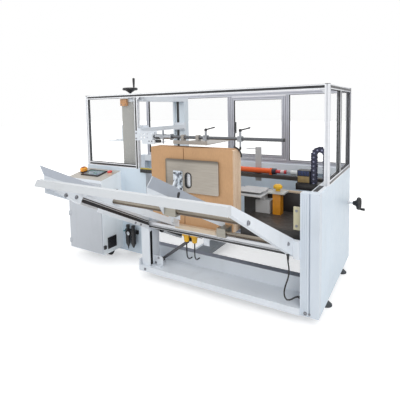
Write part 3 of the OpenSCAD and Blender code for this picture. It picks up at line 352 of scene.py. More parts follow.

# Where single finishes and painted shades lie on their nodes, in metres
SHADED_REAR = 0.6
REAR_COLUMN = 0.5
COLUMN_SLOT_SHADE = ((-0.594, -0.564), (0.8, 0.815))
POST_GROOVE_SHADE = ((-0.2515, -0.2385), (-0.104, -0.073))
SHADED_LOW_BEAMS = (0, 0.3)
SHADED_MIDDLE_BEAM = (-0.1, 0.1)
PUSHER_TOP_SHADE = (0.918, 0.938)
PUSHER_LEFT_SHADE = (-0.062, -0.046)
SUCTION_FOOT, SUCTION_H = 0.552, 0.21
COUPLING_START, COUPLING_LEN = 0.462, 0.238

# Looks of single nodes that have more than one finish, or a tone of their own; some layers are painted light
# or painted shade, as marked
# Guard profile, with a greyer tone on the rear side as painted shade
GUARD = metal("guard_profile", srgb(228, 230, 234), 0.3, 0.45, 160, DRAWN, 0.05, 0.35, [
    (srgb(192, 194, 203), lambda m: m.within(m.along(AXIS_Y), SHADED_REAR))])
OWN = {
    "control_cabinet": painted("cabinet_coat", WHITE, layers=[
        (srgb(184, 179, 171), lambda m: m.within(m.facing(AXIS_Z), 0.75)),
        # painted light: faces towards +X lighter, as lit from that side
        (srgb(240, 246, 250), lambda m: m.within(m.facing(AXIS_X), FACES))]),
    "cabinet_door": painted("door_coat", srgb(190, 195, 202), 0.35, 0.55),
    "magazine_guides": painted("guide_coat", WHITE, layers=[
        # painted shade: faces that lean up or down, the flared lips, a bluer grey than the white webs
        (srgb(176, 183, 194), lambda m: m.within(m.size(m.facing(AXIS_Z)), 0.35))]),
    "portal_columns": painted("column_coat", srgb(165, 164, 160), layers=[
        # painted light: faces towards +X lighter, as lit from that side
        (srgb(206, 208, 210), lambda m: m.within(m.facing(AXIS_X), FACES)),
        (srgb(216, 226, 234), lambda m: m.within(m.along(AXIS_Y), REAR_COLUMN)),
        # painted shade: black in the column's groove
        (SHADE_BLACK, lambda m: m.shaft(*COLUMN_SLOT_SHADE))]),
    # painted shade: black in the front post's groove
    "front_post": painted("post_coat", WHITE, layers=[(SHADE_BLACK, lambda m: m.shaft(*POST_GROOVE_SHADE))]),
    "body_x_beams": painted("beam_coat", WHITE, layers=[
        # painted shade: the low beams' top faces darker, under the machine
        (srgb(138, 142, 156), lambda m: m.both(
            m.within(m.along(AXIS_Z), *SHADED_LOW_BEAMS), m.within(m.facing(AXIS_Z), FACES)))]),
    "body_y_beams": painted("cross_beam_coat", WHITE, layers=[
        # painted shade: the middle cross beam greyer all over
        (srgb(134, 139, 145), lambda m: m.within(m.along(AXIS_X), *SHADED_MIDDLE_BEAM))]),
    "pusher_rail": painted("pusher_rail_coat", WHITE),
    "front_bar": painted("front_bar_coat", srgb(208, 212, 216)),
    "body_panels": painted("panel_coat", srgb(210, 224, 236)),
    "legs": painted("leg_coat", srgb(210, 219, 229)),
    "levelling_feet": plastic("foot_grey", srgb(66, 70, 74), 0.6, 0.8, 400),
    "guide_rods": metal("guide_rod_steel", srgb(140, 133, 122), 0.3, 0.42, 220, DRAWN, layers=[
        # painted shade: the sides and undersides of the rods darker
        (srgb(84, 74, 64), lambda m: m.within(m.facing(AXIS_Z), -FAR, 0.1))]),
    "guide_clamps": metal("guide_clamp_steel", srgb(150, 147, 138), 0.3, 0.45, 220, DRAWN),
    "pusher_carriage": carriage("carriage_tones"),
    "pusher_plate": metal("pusher_sheet", srgb(168, 161, 151), 0.3, 0.42, 220, DRAWN, layers=[
        # painted shade: darker towards the top and left edges; the top band is also a painted dark reflection
        # on the bend
        (srgb(114, 108, 100), lambda m: m.range(m.along(AXIS_Z), 0, 1, *PUSHER_TOP_SHADE)),
        (srgb(124, 118, 108), lambda m: m.range(m.along(AXIS_X), 1, 0, *PUSHER_LEFT_SHADE))]),
    "screw_bearing": painted("bearing_coat", srgb(210, 146, 82), 0.3, 0.5, 0.1),
    "suction_unit": plastic("suction_tones", srgb(222, 160, 24), 0.3, 0.45, bands=(
        AXIS_Z, SUCTION_FOOT, SUCTION_H, [
            (0, srgb(214, 140, 22)), (0.71, srgb(190, 192, 188)), (0.77, srgb(226, 176, 30))])),
    "cylinder_coupling": plastic("coupling_tones", srgb(200, 200, 200), 0.3, 0.45, bands=(
        AXIS_X, COUPLING_START, COUPLING_LEN, [
            (0, srgb(40, 36, 52)), (0.139, srgb(206, 62, 66)), (0.3, srgb(226, 206, 208)),
            (0.42, srgb(196, 54, 60)), (0.5, srgb(178, 180, 182)), (0.664, srgb(214, 218, 220))])),
    "hold_down_rod": metal("rod_steel", srgb(96, 98, 102), 0.3, 0.42, 220, DRAWN),
    "hold_down_plate": painted("hold_down_coat", srgb(160, 155, 149), 0.3, 0.45),
    "rod_clamps": metal("clamp_steel", srgb(150, 153, 158), 0.3, 0.45, 220, DRAWN),
    "guard_posts": GUARD,
    "guard_x_rails": GUARD,
    "guard_y_rails": GUARD,
    "door_frame": GUARD,
}
for part in frame["record"]["subparts"]:
    mesh = NODES[part["node"]].data
    mesh.materials.clear()
    mesh.materials.append(OWN.get(part["node"]) or MATS[part["material_slot"]])


# Floor, world and lamps
FLOOR_SIZE, FLOOR_DROP = 30.0, 0.0005
FLOOR_LIFT, LIFT_REACH = (0.42, 0.75), (1.6, 5.0)
SKY_LIGHT, SKY_SEEN = 0.62, 1.0


def view_rays(tree):
    """1 for rays from the camera, off a gloss or through glass, else 0."""
    path = tree.nodes.new("ShaderNodeLightPath")
    found = path.outputs["Is Camera Ray"]
    for kind in ("Is Glossy Ray", "Is Transmission Ray"):
        larger = tree.nodes.new("ShaderNodeMath")
        larger.operation = "MAXIMUM"
        tree.links.new(found, larger.inputs[0])
        tree.links.new(path.outputs[kind], larger.inputs[1])
        found = larger.outputs[0]
    return found


def floor_material():
    """Pale floor that the view sees a little lifted, more so far from the object."""
    m = Mat("floor")
    m.colour(m.ramp(m.noise(1.5, 4), [(0.3, grey(0.8)), (0.7, grey(0.83))]))
    m.set(Roughness=0.9, Specular_IOR_Level=0.1, Emission_Color=FULL_WHITE)
    reach = m.node("ShaderNodeVectorMath", operation="LENGTH")
    m.link(m.coords, reach.inputs[0])
    lift = m.both(view_rays(m.tree), m.range(reach.outputs["Value"], *FLOOR_LIFT, *LIFT_REACH))
    m.link(lift, m.bsdf.inputs["Emission Strength"])
    return m.mat


bm = bmesh.new()
bmesh.ops.create_grid(bm, x_segments=8, y_segments=8, size=FLOOR_SIZE)
floor_mesh = bpy.data.meshes.new("floor")
bm.to_mesh(floor_mesh)
bm.free()
floor = bpy.data.objects.new("floor", floor_mesh)
floor.location.z = -FLOOR_DROP
floor_mesh.materials.append(floor_material())
scene.collection.objects.link(floor)

world = bpy.data.worlds.new("studio")
scene.world = world
world.use_nodes = True
sky_tree = world.node_tree
sky = sky_tree.nodes["Background"]
sky.inputs["Color"].default_value = FULL_WHITE
strength = sky_tree.nodes.new("ShaderNodeMapRange")
strength.inputs["To Min"].default_value = SKY_LIGHT
strength.inputs["To Max"].default_value = SKY_SEEN
sky_tree.links.new(view_rays(sky_tree), strength.inputs["Value"])
sky_tree.links.new(strength.outputs["Result"], sky.inputs["Strength"])


def lamp(name, at, target, size, power):
    data = bpy.data.lights.new(name, "AREA")
    data.shape = "SQUARE"
    data.size = size
    data.energy = power
    o = bpy.data.objects.new(name, data)
    o.location = at
    o.rotation_euler = (Vector(target) - Vector(at)).to_track_quat("-Z", "Y").to_euler()
    scene.collection.objects.link(o)


lamp("key", (3.6, -3.4, 4.2), (0, 0, 0.7), 3.0, 130)
lamp("fill", (-3.8, -3.4, 3.0), (0, 0, 0.7), 3.0, 60)
lamp("top", (0, 1.0, 5.0), (0, 0.3, 0.7), 3.5, 60)


# Drawing of pieces, in millimetres in the CAD frame
MM = 0.001
X, Y, Z = Vector((1, 0, 0)), Vector((0, 1, 0)), Vector((0, 0, 1))
SHARP_EDGE = math.radians(32)


def corners(node):
    """A node's lowest and highest corners at rest, to the nearest micrometre."""
    return [Vector([round(c / MM, 3) for c in corner]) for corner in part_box(node)]


def joint_at(name):
    """The place of a joint's axis."""
    joint = next(j for j in frame["record"]["behaviour"]["joints"] if j["name"] == name)
    return Vector([c / MM for c in joint["pos_m"]])


def circle(r, n):
    """Points on a circle about the origin, as pairs."""
    return [(r * math.cos(2 * math.pi * k / n), r * math.sin(2 * math.pi * k / n)) for k in range(n)]


def block(bm, a, b, r=0.0, turn=None):
    """A block between two corners, with rounded edges."""
    a, b = Vector(a), Vector(b)
    m = Matrix.Translation((a + b) / 2) @ Matrix.Diagonal((*(b - a), 1))
    verts = bmesh.ops.create_cube(bm, size=1, matrix=turn @ m if turn else m)["verts"]
    if r:
        edges = list(dict.fromkeys(e for v in verts for e in v.link_edges))
        bmesh.ops.bevel(bm, geom=edges, offset=r, segments=2, profile=0.5, affect="EDGES")


def turned(bm, at, axis, profile, seg=24, turn=None):
    """A turned form: (radius, distance along the axis) pairs, closed at both ends."""
    rot = Z.rotation_difference(Vector(axis)).to_matrix()
    rings = []
    for r, h in profile:
        ring = [Vector(at) + rot @ Vector((a, b, h)) for a, b in circle(r, seg if r > 0 else 1)]
        rings.append([bm.verts.new(turn @ p if turn else p) for p in ring])
    for lo, hi in zip(rings, rings[1:]):
        for i in range(seg):
            quad = [lo[i % len(lo)], lo[(i + 1) % len(lo)], hi[(i + 1) % len(hi)], hi[i % len(hi)]]
            quad = [v for k, v in enumerate(quad) if v not in quad[:k]]
            if len(quad) > 2:
                bm.faces.new(quad)
    for ring in (rings[0], rings[-1]):
        if len(ring) > 2:
            bm.faces.new(ring)


def skin(bm, rows, closed=False):
    """Faces between rows of as many points, and from the last row to the first if closed."""
    n = len(rows[0])
    for lo, hi in zip(rows, rows[1:] + rows[:1] if closed else rows[1:]):
        for j in range(n):
            bm.faces.new((lo[j], lo[(j + 1) % n], hi[(j + 1) % n], hi[j]))


def ringed(bm, at, axis, section, seg=48):
    """A turned ring: a closed section of (radius, distance along the axis) pairs."""
    rot = Z.rotation_difference(Vector(axis)).to_matrix()
    skin(bm, [[bm.verts.new(Vector(at) + rot @ Vector((r * c, r * s, h))) for r, h in section]
              for c, s in circle(1, seg)], closed=True)


def swept(bm, pts, r, seg=14):
    """A round bar along a smooth line of points, closed at both ends."""
    pts = [Vector(q) for q in pts]
    rows = []
    for i, q in enumerate(pts):
        t = (pts[min(i + 1, len(pts) - 1)] - pts[max(i - 1, 0)]).normalized()
        u = t.cross(Y if abs(t.y) < 0.9 else X).normalized()
        v = t.cross(u)
        rows.append([bm.verts.new(q + u * a + v * b) for a, b in circle(r, seg)])
    skin(bm, rows)
    bm.faces.new(rows[0])
    bm.faces.new(rows[-1])


def prism(bm, pts, at, u, v, depth, turn=None):
    """An outline in the plane of u and v at a point, drawn out along a vector."""
    at, turn = Vector(at), turn or Matrix()
    low = [bm.verts.new(turn @ (at + u * a + v * b)) for a, b in pts]
    top = [bm.verts.new(turn @ (at + u * a + v * b + depth)) for a, b in pts]
    n = len(pts)
    bm.faces.new(low)
    bm.faces.new(top[::-1])
    for i in range(n):
        bm.faces.new((low[i], top[i], top[(i + 1) % n], low[(i + 1) % n]))


def screw(bm, at, axis, d):
    """A socket-head screw on its washer, its seat at the given point."""
    h = 0.55 * d
    turned(bm, at, axis, [
        (1.05 * d, 0), (1.05 * d, 1.4), (0.78 * d, 1.5), (0.8 * d, h), (0.7 * d, h + 1.2),
        (0.42 * d, h + 1.2), (0.38 * d, 2.0), (0, 2.0)], 18)


def piece(name, bm, body, slot, mat=None, replaces=()):
    """Closes a drawing: a smooth-shaded object in metres that rides on a body."""
    bmesh.ops.recalc_face_normals(bm, faces=bm.faces)
    bm.transform(Matrix.Scale(MM, 4))
    me = bpy.data.meshes.new(name)
    bm.to_mesh(me)
    bm.free()
    me.polygons.foreach_set("use_smooth", [True] * len(me.polygons))
    me.set_sharp_from_angle(angle=SHARP_EDGE)
    me.materials.append(mat or MATS[slot])
    o = bpy.data.objects.new(name, me)
    scene.collection.objects.link(o)
    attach(o, body)
    if replaces:
        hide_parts(*replaces)
    return o


# Hanging cable along its CAD route, with a tapered relief at each end
CABLE_D = 0.009
CABLE = [
    (857, -180, 415), (857, -180, 400), (859, -178, 380), (861, -175, 360), (861, -172, 340),
    (859, -170, 320), (855, -168, 300), (850, -167, 280), (843, -166, 260), (837, -165, 240),
    (832, -164, 220), (829, -163, 200), (829, -161, 180), (833, -158, 163), (842, -152, 150),
    (854, -139, 146), (864, -122, 146), (873, -106, 149), (882, -96, 151), (890, -92, 152),
    (896, -92, 152),
]
cable_pts = [Vector(p) / 1000 for p in CABLE]
curve = bpy.data.curves.new("cable_flex", "CURVE")
curve.dimensions = "3D"
curve.bevel_depth = CABLE_D / 2
curve.bevel_resolution = 3
curve.use_fill_caps = True
spline = curve.splines.new("POLY")
spline.points.add(len(cable_pts) - 1)
for sp, p in zip(spline.points, cable_pts):
    sp.co = (*p, 1)
flex = bpy.data.objects.new("cable_flex", curve)
curve.materials.append(MATS["rubber"])
scene.collection.objects.link(flex)
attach(flex, "frame")
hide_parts("cable")

RELIEF = [
    (9.5, 0), (9.5, 5), (8.6, 6), (8.2, 10), (7.2, 10.6), (7.2, 12.2), (7.8, 12.8), (7.4, 16.5), (6.6, 17),
    (6.6, 18.6), (7.1, 19.2), (6.8, 22.5), (6.1, 23), (6.1, 24.6), (6.4, 25.2), (5.4, 29), (4.6, 29.2)]
ARM_UNDERSIDE = 443.5
leg_face = corners("cable_glands")[1].x
bm = bmesh.new()
for at, way, stretch in (
        ((CABLE[0][0], CABLE[0][1], ARM_UNDERSIDE), -Z, 1.3),
        ((leg_face, CABLE[-1][1], CABLE[-1][2]), -X, 0.85)):
    turned(bm, at, way, [(r, h * stretch) for r, h in RELIEF], 20)
reliefs = piece("cable_reliefs", bm, "frame", "black_plastic", replaces=("cable_glands",))


# Guard: pane gaskets, slot covers, end caps and corner angles
PROFILE = 30
HALF = PROFILE / 2
(left, front, foot), (right, rear, top) = corners("guard_posts")
# Middles of the posts that stand between the corners, and of the one at the rear left
MID_POST, SIDE_POST, REAR_POST = -537, 515, -1051
DOOR_POSTS = (-52, 512)
PANES = [  # axis of the pane's width, its two ends and its middle plane
    (AXIS_X, left + PROFILE, MID_POST - HALF, front + HALF),
    (AXIS_X, REAR_POST + HALF, DOOR_POSTS[0] - HALF, rear - HALF),
    (AXIS_X, DOOR_POSTS[1] + HALF, right - PROFILE, rear - HALF),
    (AXIS_Y, front + PROFILE, SIDE_POST - HALF, right - HALF),
    (AXIS_Y, SIDE_POST + HALF, rear - PROFILE, right - HALF),
]
# A bead's width, and how far its two faces lie from the pane's middle
BEAD, BEAD_INNER, BEAD_OUTER = 3, 2.6, 10.5


def gasket(bm, axis, a, b, plane, z0, z1):
    """Rubber beads on both sides of a pane, round its four edges."""
    for inner, outer in ((plane - BEAD_OUTER, plane - BEAD_INNER), (plane + BEAD_INNER, plane + BEAD_OUTER)):
        for (p, low), (q, high) in (
                ((a, z0), (b, z0 + BEAD)), ((a, z1 - BEAD), (b, z1)),
                ((a, z0 + BEAD), (a + BEAD, z1 - BEAD)), ((b - BEAD, z0 + BEAD), (b, z1 - BEAD))):
            if axis == AXIS_X:
                block(bm, (p, inner, low), (q, outer, high), 0.8)
            else:
                block(bm, (inner, p, low), (outer, q, high), 0.8)


bm = bmesh.new()
for pane in PANES:
    gasket(bm, *pane, foot + PROFILE, top - PROFILE)
piece("guard_gaskets", bm, "frame", "rubber")
bm = bmesh.new()
door_low, door_high = corners("door_frame")
gasket(bm, AXIS_X, door_low.x + PROFILE, door_high.x - PROFILE, door_low.y + HALF,
       door_low.z + PROFILE, door_high.z - PROFILE)
piece("door_gasket", bm, "rear_door", "rubber")

# A slot cover's thickness, its edges' slope, and its key's half width and depth
COVER_T, COVER_EDGE, KEY = 1.2, 1, 3.6


def cover(bm, a, b, out, w):
    """A slot cover: a flat strip on a face, along a line, with a key in the slot."""
    a, b = Vector(a), Vector(b)
    half = w / 2
    outline = [(-half, 0), (-half + COVER_EDGE, COVER_T), (half - COVER_EDGE, COVER_T), (half, 0),
               (KEY, 0), (KEY, -KEY), (-KEY, -KEY), (-KEY, 0)]
    prism(bm, outline, a, (b - a).normalized().cross(out), out, b - a)


GUARD_COVER, FEED_COVER, FEED_TOP_COVER = 16, 13, 30  # widths
FEED_SLOT = 9  # height of the feed beam's slot above its underside
FEED_TOP_START, FEED_END, FEED_MID = 485, 815, -82
x0, x1, y0, y1 = left + PROFILE, right - PROFILE, front + PROFILE, rear - PROFILE
low_rail, high_rail = foot + HALF, top - HALF
bm = bmesh.new()
for a, b, out in (
        ((x0, front, high_rail), (x1, front, high_rail), -Y),
        ((x0, front + HALF, top), (x1, front + HALF, top), Z),
        ((x0, front, low_rail), (MID_POST - HALF, front, low_rail), -Y),
        ((MID_POST, front, foot), (MID_POST, front, top - PROFILE), -Y),
        ((right, y0, high_rail), (right, y1, high_rail), X),
        ((right, y0, low_rail), (right, y1, low_rail), X),
        ((right, SIDE_POST, foot + PROFILE), (right, SIDE_POST, top - PROFILE), X),
        ((right, rear - HALF, foot), (right, rear - HALF, top), X),
        ((REAR_POST + HALF, rear, high_rail), (x1, rear, high_rail), Y),
        ((REAR_POST + HALF, rear, low_rail), (x1, rear, low_rail), Y)):
    cover(bm, a, b, out, GUARD_COVER)
feed_low, feed_high = corners("feed_beam")
feed_slot = feed_low.z + FEED_SLOT
cover(bm, (feed_low.x + 5, feed_low.y, feed_slot), (FEED_END, feed_low.y, feed_slot), -Y, FEED_COVER)
cover(bm, (FEED_TOP_START, FEED_MID, feed_high.z), (FEED_END, FEED_MID, feed_high.z), Z, FEED_TOP_COVER)
# A flat strip on the right-hand beam, before the guard
block(bm, (right - 56, -50, foot), (right - 28, front - 3, foot + 2.5), 0.8)
piece("slot_covers", bm, "frame", "black_plastic")

CAP_T = 3.5
bm = bmesh.new()
for x, y in ((left + HALF, front + HALF), (right - HALF, front + HALF), (REAR_POST, rear - HALF),
             (right - HALF, rear - HALF)):
    block(bm, (x - HALF, y - HALF, top), (x + HALF, y + HALF, top + CAP_T), 1.2)
piece("post_caps", bm, "frame", "black_plastic")

ANGLE, ANGLE_T, ANGLE_W, RIB = 27, 3.5, 22, 3  # a corner angle's leg, wall and width, and its rib's thickness


def angle(bm, at, u, v):
    """A cast corner angle: two feet with a rib at each side, and a screw on each foot."""
    at = Vector(at)
    side = u.cross(v)
    tip = ANGLE - RIB
    prism(bm, [(0, 0), (ANGLE, 0), (ANGLE, ANGLE_T), (ANGLE_T, ANGLE_T), (ANGLE_T, ANGLE), (0, ANGLE)],
          at - side * ANGLE_W / 2, u, v, side * ANGLE_W)
    for start in (-ANGLE_W / 2, ANGLE_W / 2 - RIB):
        prism(bm, [(ANGLE_T, ANGLE_T), (tip, ANGLE_T), (ANGLE_T, tip)], at + side * start, u, v, side * RIB)
    for foot_way, out in ((u, v), (v, u)):
        screw(bm, at + foot_way * (ANGLE * 0.55) + out * ANGLE_T, out, 5)


bm = bmesh.new()
angle(bm, (MID_POST + HALF, front + HALF, top - PROFILE), X, -Z)
angle(bm, (right - PROFILE, front + HALF, top - PROFILE), -X, -Z)
piece("corner_angles", bm, "frame", "aluminium")


# Left rail: slot covers, carrier strip and roller
RAIL_TILT = math.radians(27.5)
DOWN = Vector((0, math.cos(RAIL_TILT), -math.sin(RAIL_TILT)))
RAIL_UP = Vector((0, math.sin(RAIL_TILT), math.cos(RAIL_TILT)))
RAIL_W, RAIL_COVER = 45, 21
RAIL_RUN = (2, 1205)  # start and end of the covers, down the slope
STRIP_RUN = (150, 790)
rail_high = corners("left_rail")[1]
rail_face = rail_high.x
rail_top = Vector((rail_face - RAIL_W / 2, corners("left_rail_end")[1].y, rail_high.z))
rail_edge = rail_top + X * (RAIL_W / 2)
bm = bmesh.new()
for line, out in ((rail_top, RAIL_UP), (rail_edge - RAIL_UP * 21.5, X)):
    cover(bm, line + DOWN * RAIL_RUN[0], line + DOWN * RAIL_RUN[1], out, RAIL_COVER)
prism(bm, [(0, -1), (1.2, -1.5), (1.2, -6.5), (0, -7)], rail_edge + DOWN * RAIL_RUN[0], X, RAIL_UP,
      DOWN * (RAIL_RUN[1] - RAIL_RUN[0]))
piece("rail_covers", bm, "frame", "black_plastic")
bm = bmesh.new()
strip_line = rail_edge - RAIL_UP * RAIL_W
STRIP_T = 4
prism(bm, [(0, -12), (STRIP_T - 1, -12), (STRIP_T, -11), (STRIP_T, 12), (STRIP_T - 1, 13), (0, 13)],
      strip_line + DOWN * STRIP_RUN[0], X, RAIL_UP, DOWN * (STRIP_RUN[1] - STRIP_RUN[0]))
piece("rail_strip", bm, "frame", "white_paint")
bm = bmesh.new()
turned(bm, (rail_face, 37, 340), X, [
    (8, 0), (8, 5), (16, 6), (17, 8), (17, 24), (15.5, 27), (6, 27.5), (5, 30), (0, 30)], 28)
piece("rail_roller", bm, "frame", "black_plastic")


# Screws on the frame: their seats, the way they point and their size
ARM_FACE = 872
FOOT_BRACKET_Y = -62
ledge_y = corners("front_ledge")[0].y
leg_y = corners("legs")[0].y
plate_y = corners("leg_plate")[0].y
BEARING_Y = 164
strip_face = strip_line + X * STRIP_T
PANEL_SCREWS_X = (-1100, -740, -380, -20, 340, 700, 985)
FRAME_SCREWS = [
    ([(rail_face, -842, 812), (rail_face, -768, 785), (ARM_FACE, -785, 805), (ARM_FACE, -227, 524)], X, 12),
    ([strip_face + DOWN * 545, strip_face + DOWN * 610], X, 8),
    ([(-272, ledge_y, 78)], -Y, 10),
    ([(-192, FOOT_BRACKET_Y, 158), (-219, FOOT_BRACKET_Y, 116)], -Y, 9),
    ([(942, leg_y, 77)], -Y, 11),
    ([(966, leg_y, 77)], -Y, 7),
    ([(880, plate_y, z) for z in (589, 681)], -Y, 8),
    ([(x, BEARING_Y, 1349) for x in (-731, -687)], -Y, 5),
    ([(x, rear, z) for x in PANEL_SCREWS_X for z in (78, 780)], Y, 4.5),
    ([(517, rear + 4, z) for z in (930, 968, 1275, 1313)], Y, 4),
]
bm = bmesh.new()
for seats, way, d in FRAME_SCREWS:
    for at in seats:
        screw(bm, at, way, d)
piece("frame_screws", bm, "frame", "bright_steel", ZINC)


# Control side: display, beacon, stop, hinges, lock, knob, plug and sensor box
DESK_FRONT = 719  # height of the desk's front edge
cab_low, cab_high = corners("control_cabinet")
desk_slope = math.atan((cab_high.z - DESK_FRONT) / (cab_high.y - cab_low.y))


def desk(x, along):
    """Place on the sloping desk: its normal is local Z."""
    return (Matrix.Translation((x, cab_low.y, DESK_FRONT)) @ Matrix.Rotation(desk_slope, 4, "X")
            @ Matrix.Translation((0, along, 0)))


ORIGIN = (0, 0, 0)
BEACON, STOP = desk(-1085, 138), desk(-776, 154)
bm = bmesh.new()
block(bm, (15, 15, 8), (197, 105, 9.3), 0.5, desk(corners("operator_panel")[0].x, 68))
piece("display", bm, "frame", "black_plastic", screen("display"))

bm = bmesh.new()
turned(bm, ORIGIN, Z, [(33, 0), (33, 4), (30, 6), (26, 7), (26, 12)], 32, BEACON)
piece("beacon_base", bm, "frame", "black_plastic", replaces=("control_buttons",))
bm = bmesh.new()
LENS_RIBS, RIB_PITCH = 5, 3.6
lens = [(26, 11.8), (32, 12.5), (33, 15)]
for k in range(LENS_RIBS):
    lens += [(32, 16.5 + RIB_PITCH * k), (33, 18.4 + RIB_PITCH * k)]
lens += [(32, 34), (29, 39), (23, 43), (21, 43.5), (19, 40), (0, 38)]
turned(bm, ORIGIN, Z, lens, 36, BEACON)
piece("beacon_lens", bm, "frame", "yellow_plastic", plastic("amber", srgb(238, 158, 36), 0.15, 0.3))
bm = bmesh.new()
turned(bm, ORIGIN, Z, [(18.8, 39), (18.8, 45.5), (16, 47.5), (0, 48)], 28, BEACON)
piece("beacon_cap", bm, "frame", "orange_paint", plastic("deep_orange", srgb(150, 70, 20), 0.3, 0.45))
bm = bmesh.new()
turned(bm, ORIGIN, Z, [(22, 0), (22, 3), (19, 4), (17.5, 5), (17, 14), (15, 14.5)], 32, STOP)
piece("stop_collar", bm, "frame", "yellow_plastic", plastic("pale_collar", srgb(226, 200, 178), 0.35, 0.5))
bm = bmesh.new()
turned(bm, ORIGIN, Z, [
    (16, 14), (22, 15.5), (23, 18), (22.5, 22), (20, 25.5), (15, 27.4), (8, 28), (0, 28)], 36, STOP)
piece("stop_button", bm, "frame", "orange_paint", plastic("signal_red", srgb(206, 60, 52), 0.2, 0.35))

HINGE_X = -1138
KNUCKLES = [(5, 0), (5.5, 0.6), (5.5, 19), (4.6, 19.4), (4.6, 20.6), (5.5, 21), (5.5, 39.4), (5, 40)]
door_face = corners("cabinet_door")[0].y
bm = bmesh.new()
for z in (130, 375, 620):
    turned(bm, (HINGE_X, door_face - 1.5, z), Z, KNUCKLES, 20)
    block(bm, (HINGE_X + 2, door_face - 3, z + 2), (HINGE_X + 24, door_face + 0.2, z + 38), 0.8)
piece("cabinet_hinges", bm, "frame", "grey_paint", OWN["cabinet_door"])
bm = bmesh.new()
cab_side = cab_high.x
turned(bm, (-754, door_face, 640), -Y, [(13, 0), (13, 2.5), (11.5, 4), (6, 4.2), (5.5, 3), (0, 3)], 28)
turned(bm, (cab_side, 51, 604), X, [
    (13, 0), (13, 2), (9, 3), (9, 6), (14, 7), (15, 10), (14, 15), (9, 17), (0, 17)], 28)
block(bm, (cab_side, -120, 138), (cab_side + 16, -96, 168), 3)
block(bm, (cab_side + 16, -116, 142), (cab_side + 20, -100, 164), 1.5)
piece("cabinet_fittings", bm, "frame", "black_plastic")

SENSOR_LOW, SENSOR_HIGH = Vector((-486, 92, 776)), Vector((-356, 116, 806))
SENSOR_KEYS, KEY_PITCH = 5, 24
bm = bmesh.new()
block(bm, SENSOR_LOW, SENSOR_HIGH, 2.5)
for k in range(SENSOR_KEYS):
    x = SENSOR_LOW.x + 16 + KEY_PITCH * k
    block(bm, (x - 8, SENSOR_LOW.y - 1.5, 782), (x + 8, SENSOR_LOW.y + 0.2, 800), 0.6)
piece("sensor_box", bm, "frame", "black_plastic")
bm = bmesh.new()
block(bm, (SENSOR_LOW.x + 2, SENSOR_LOW.y + 2, SENSOR_HIGH.z), (SENSOR_HIGH.x - 2, SENSOR_HIGH.y - 1, 815), 2)
piece("sensor_lid", bm, "frame", "yellow_plastic", plastic("olive", srgb(176, 158, 62), 0.4, 0.55))


# Air unit: knobs, drains, gauge and shut-off
BOWLS_X, BOWLS_Y = (-632, -572), 80
air_low, air_high = corners("air_unit")
GAUGE = Vector((-602, air_low.y, 246))
KNOB = [(15.5, 0), (17, 1), (17, 4), (15.6, 5), (16.6, 6.5), (15.6, 8), (16.6, 9.5), (15.6, 11),
        (16.6, 12.5), (15, 15), (11, 17), (0, 17)]
DRAIN = [(9, 0), (9, 6), (6, 7)]
DRAIN_TIPS = ([(6, 16), (4, 18), (4, 30), (0, 30)], [(6, 12), (0, 12)])
bm = bmesh.new()
for x, tip in zip(BOWLS_X, DRAIN_TIPS):
    turned(bm, (x, BOWLS_Y, air_high.z), Z, KNOB, 28)
    turned(bm, (x, BOWLS_Y, air_low.z), -Z, DRAIN + tip, 20)
turned(bm, GAUGE, -Y, [(18.5, -6), (19.5, -5), (19.5, 1), (18, 2), (16.4, 2), (16, 0.4), (0, 0.4)], 36)
piece("air_caps", bm, "frame", "black_plastic")
bm = bmesh.new()
turned(bm, GAUGE - Y * 0.45, -Y, [(15.8, 0), (15.8, 0.4), (0, 0.4)], 36)
piece("gauge_face", bm, "frame", "white_paint")
MARKS, FIRST_MARK, MARK_STEP, POINTER = 11, 225, 27, 130  # how many marks, then angles in degrees
dial = GAUGE - Y


def on_dial(degrees):
    return Matrix.Translation(dial) @ Matrix.Rotation(math.radians(-degrees), 4, "Y")


bm = bmesh.new()
for k in range(MARKS):
    block(bm, (10.5, -0.3, -0.5), (14.2, 0.1, 0.5), 0, on_dial(FIRST_MARK - MARK_STEP * k))
block(bm, (-3, -0.6, -0.7), (11, 0, 0.7), 0.2, on_dial(POINTER))
turned(bm, dial, -Y, [(2.2, 0), (2.2, 0.9), (0, 1.2)], 16)
piece("gauge_marks", bm, "frame", "black_plastic")
bm = bmesh.new()
turned(bm, (air_low.x, 109, GAUGE.z), -X, [
    (9, 0), (9, 8), (12, 9), (13, 12), (13, 24), (11, 27), (0, 27)], 24)
block(bm, (air_low.x - 28, 78, GAUGE.z - 4), (air_low.x - 12, 106, GAUGE.z + 4), 2.5)
piece("shut_off", bm, "frame", "black_plastic", plastic("teal", srgb(64, 132, 140), 0.3, 0.45))


# Stack of blanks, sheet by sheet, set a little back from the pusher's edging
SHEETS, SHEET_GAP, SET_BACK = 15, 0.9, 2
SLOT_X, SLOT_W, FLAP, CORNER_CUT = 82, 6, 118, 7
# How far a sheet may lie aside, the room for that, and how low its top may lie
SHUFFLE, SIDE_ROOM, DROP = 1.3, 1.4, 2.4
stack_low, stack_high = corners("carton_blanks")
rng = random.Random(7)
bm = bmesh.new()
pitch = (stack_high.y - stack_low.y) / SHEETS
for i in range(SHEETS):
    dx, drop = rng.uniform(-SHUFFLE, SHUFFLE), rng.uniform(0, DROP)
    x0, x1 = stack_low.x + SIDE_ROOM + dx, stack_high.x - SIDE_ROOM + dx
    z0, z1 = stack_low.z, stack_high.z - drop
    s0, s1 = SLOT_X + dx, SLOT_X + SLOT_W + dx
    prism(bm, [(x0, z0), (s0, z0), (s0, z0 + FLAP), (s1, z0 + FLAP), (s1, z0), (x1, z0),
               (x1, z1 - CORNER_CUT), (x1 - CORNER_CUT, z1), (s1, z1), (s1, z1 - FLAP), (s0, z1 - FLAP),
               (s0, z1), (x0 + CORNER_CUT, z1), (x0, z1 - CORNER_CUT)],
          (0, stack_low.y + SET_BACK + i * pitch, 0), X, Z, Y * (pitch - SHEET_GAP))
piece("blank_sheets", bm, "frame", "kraft_board", replaces=("carton_blanks",))


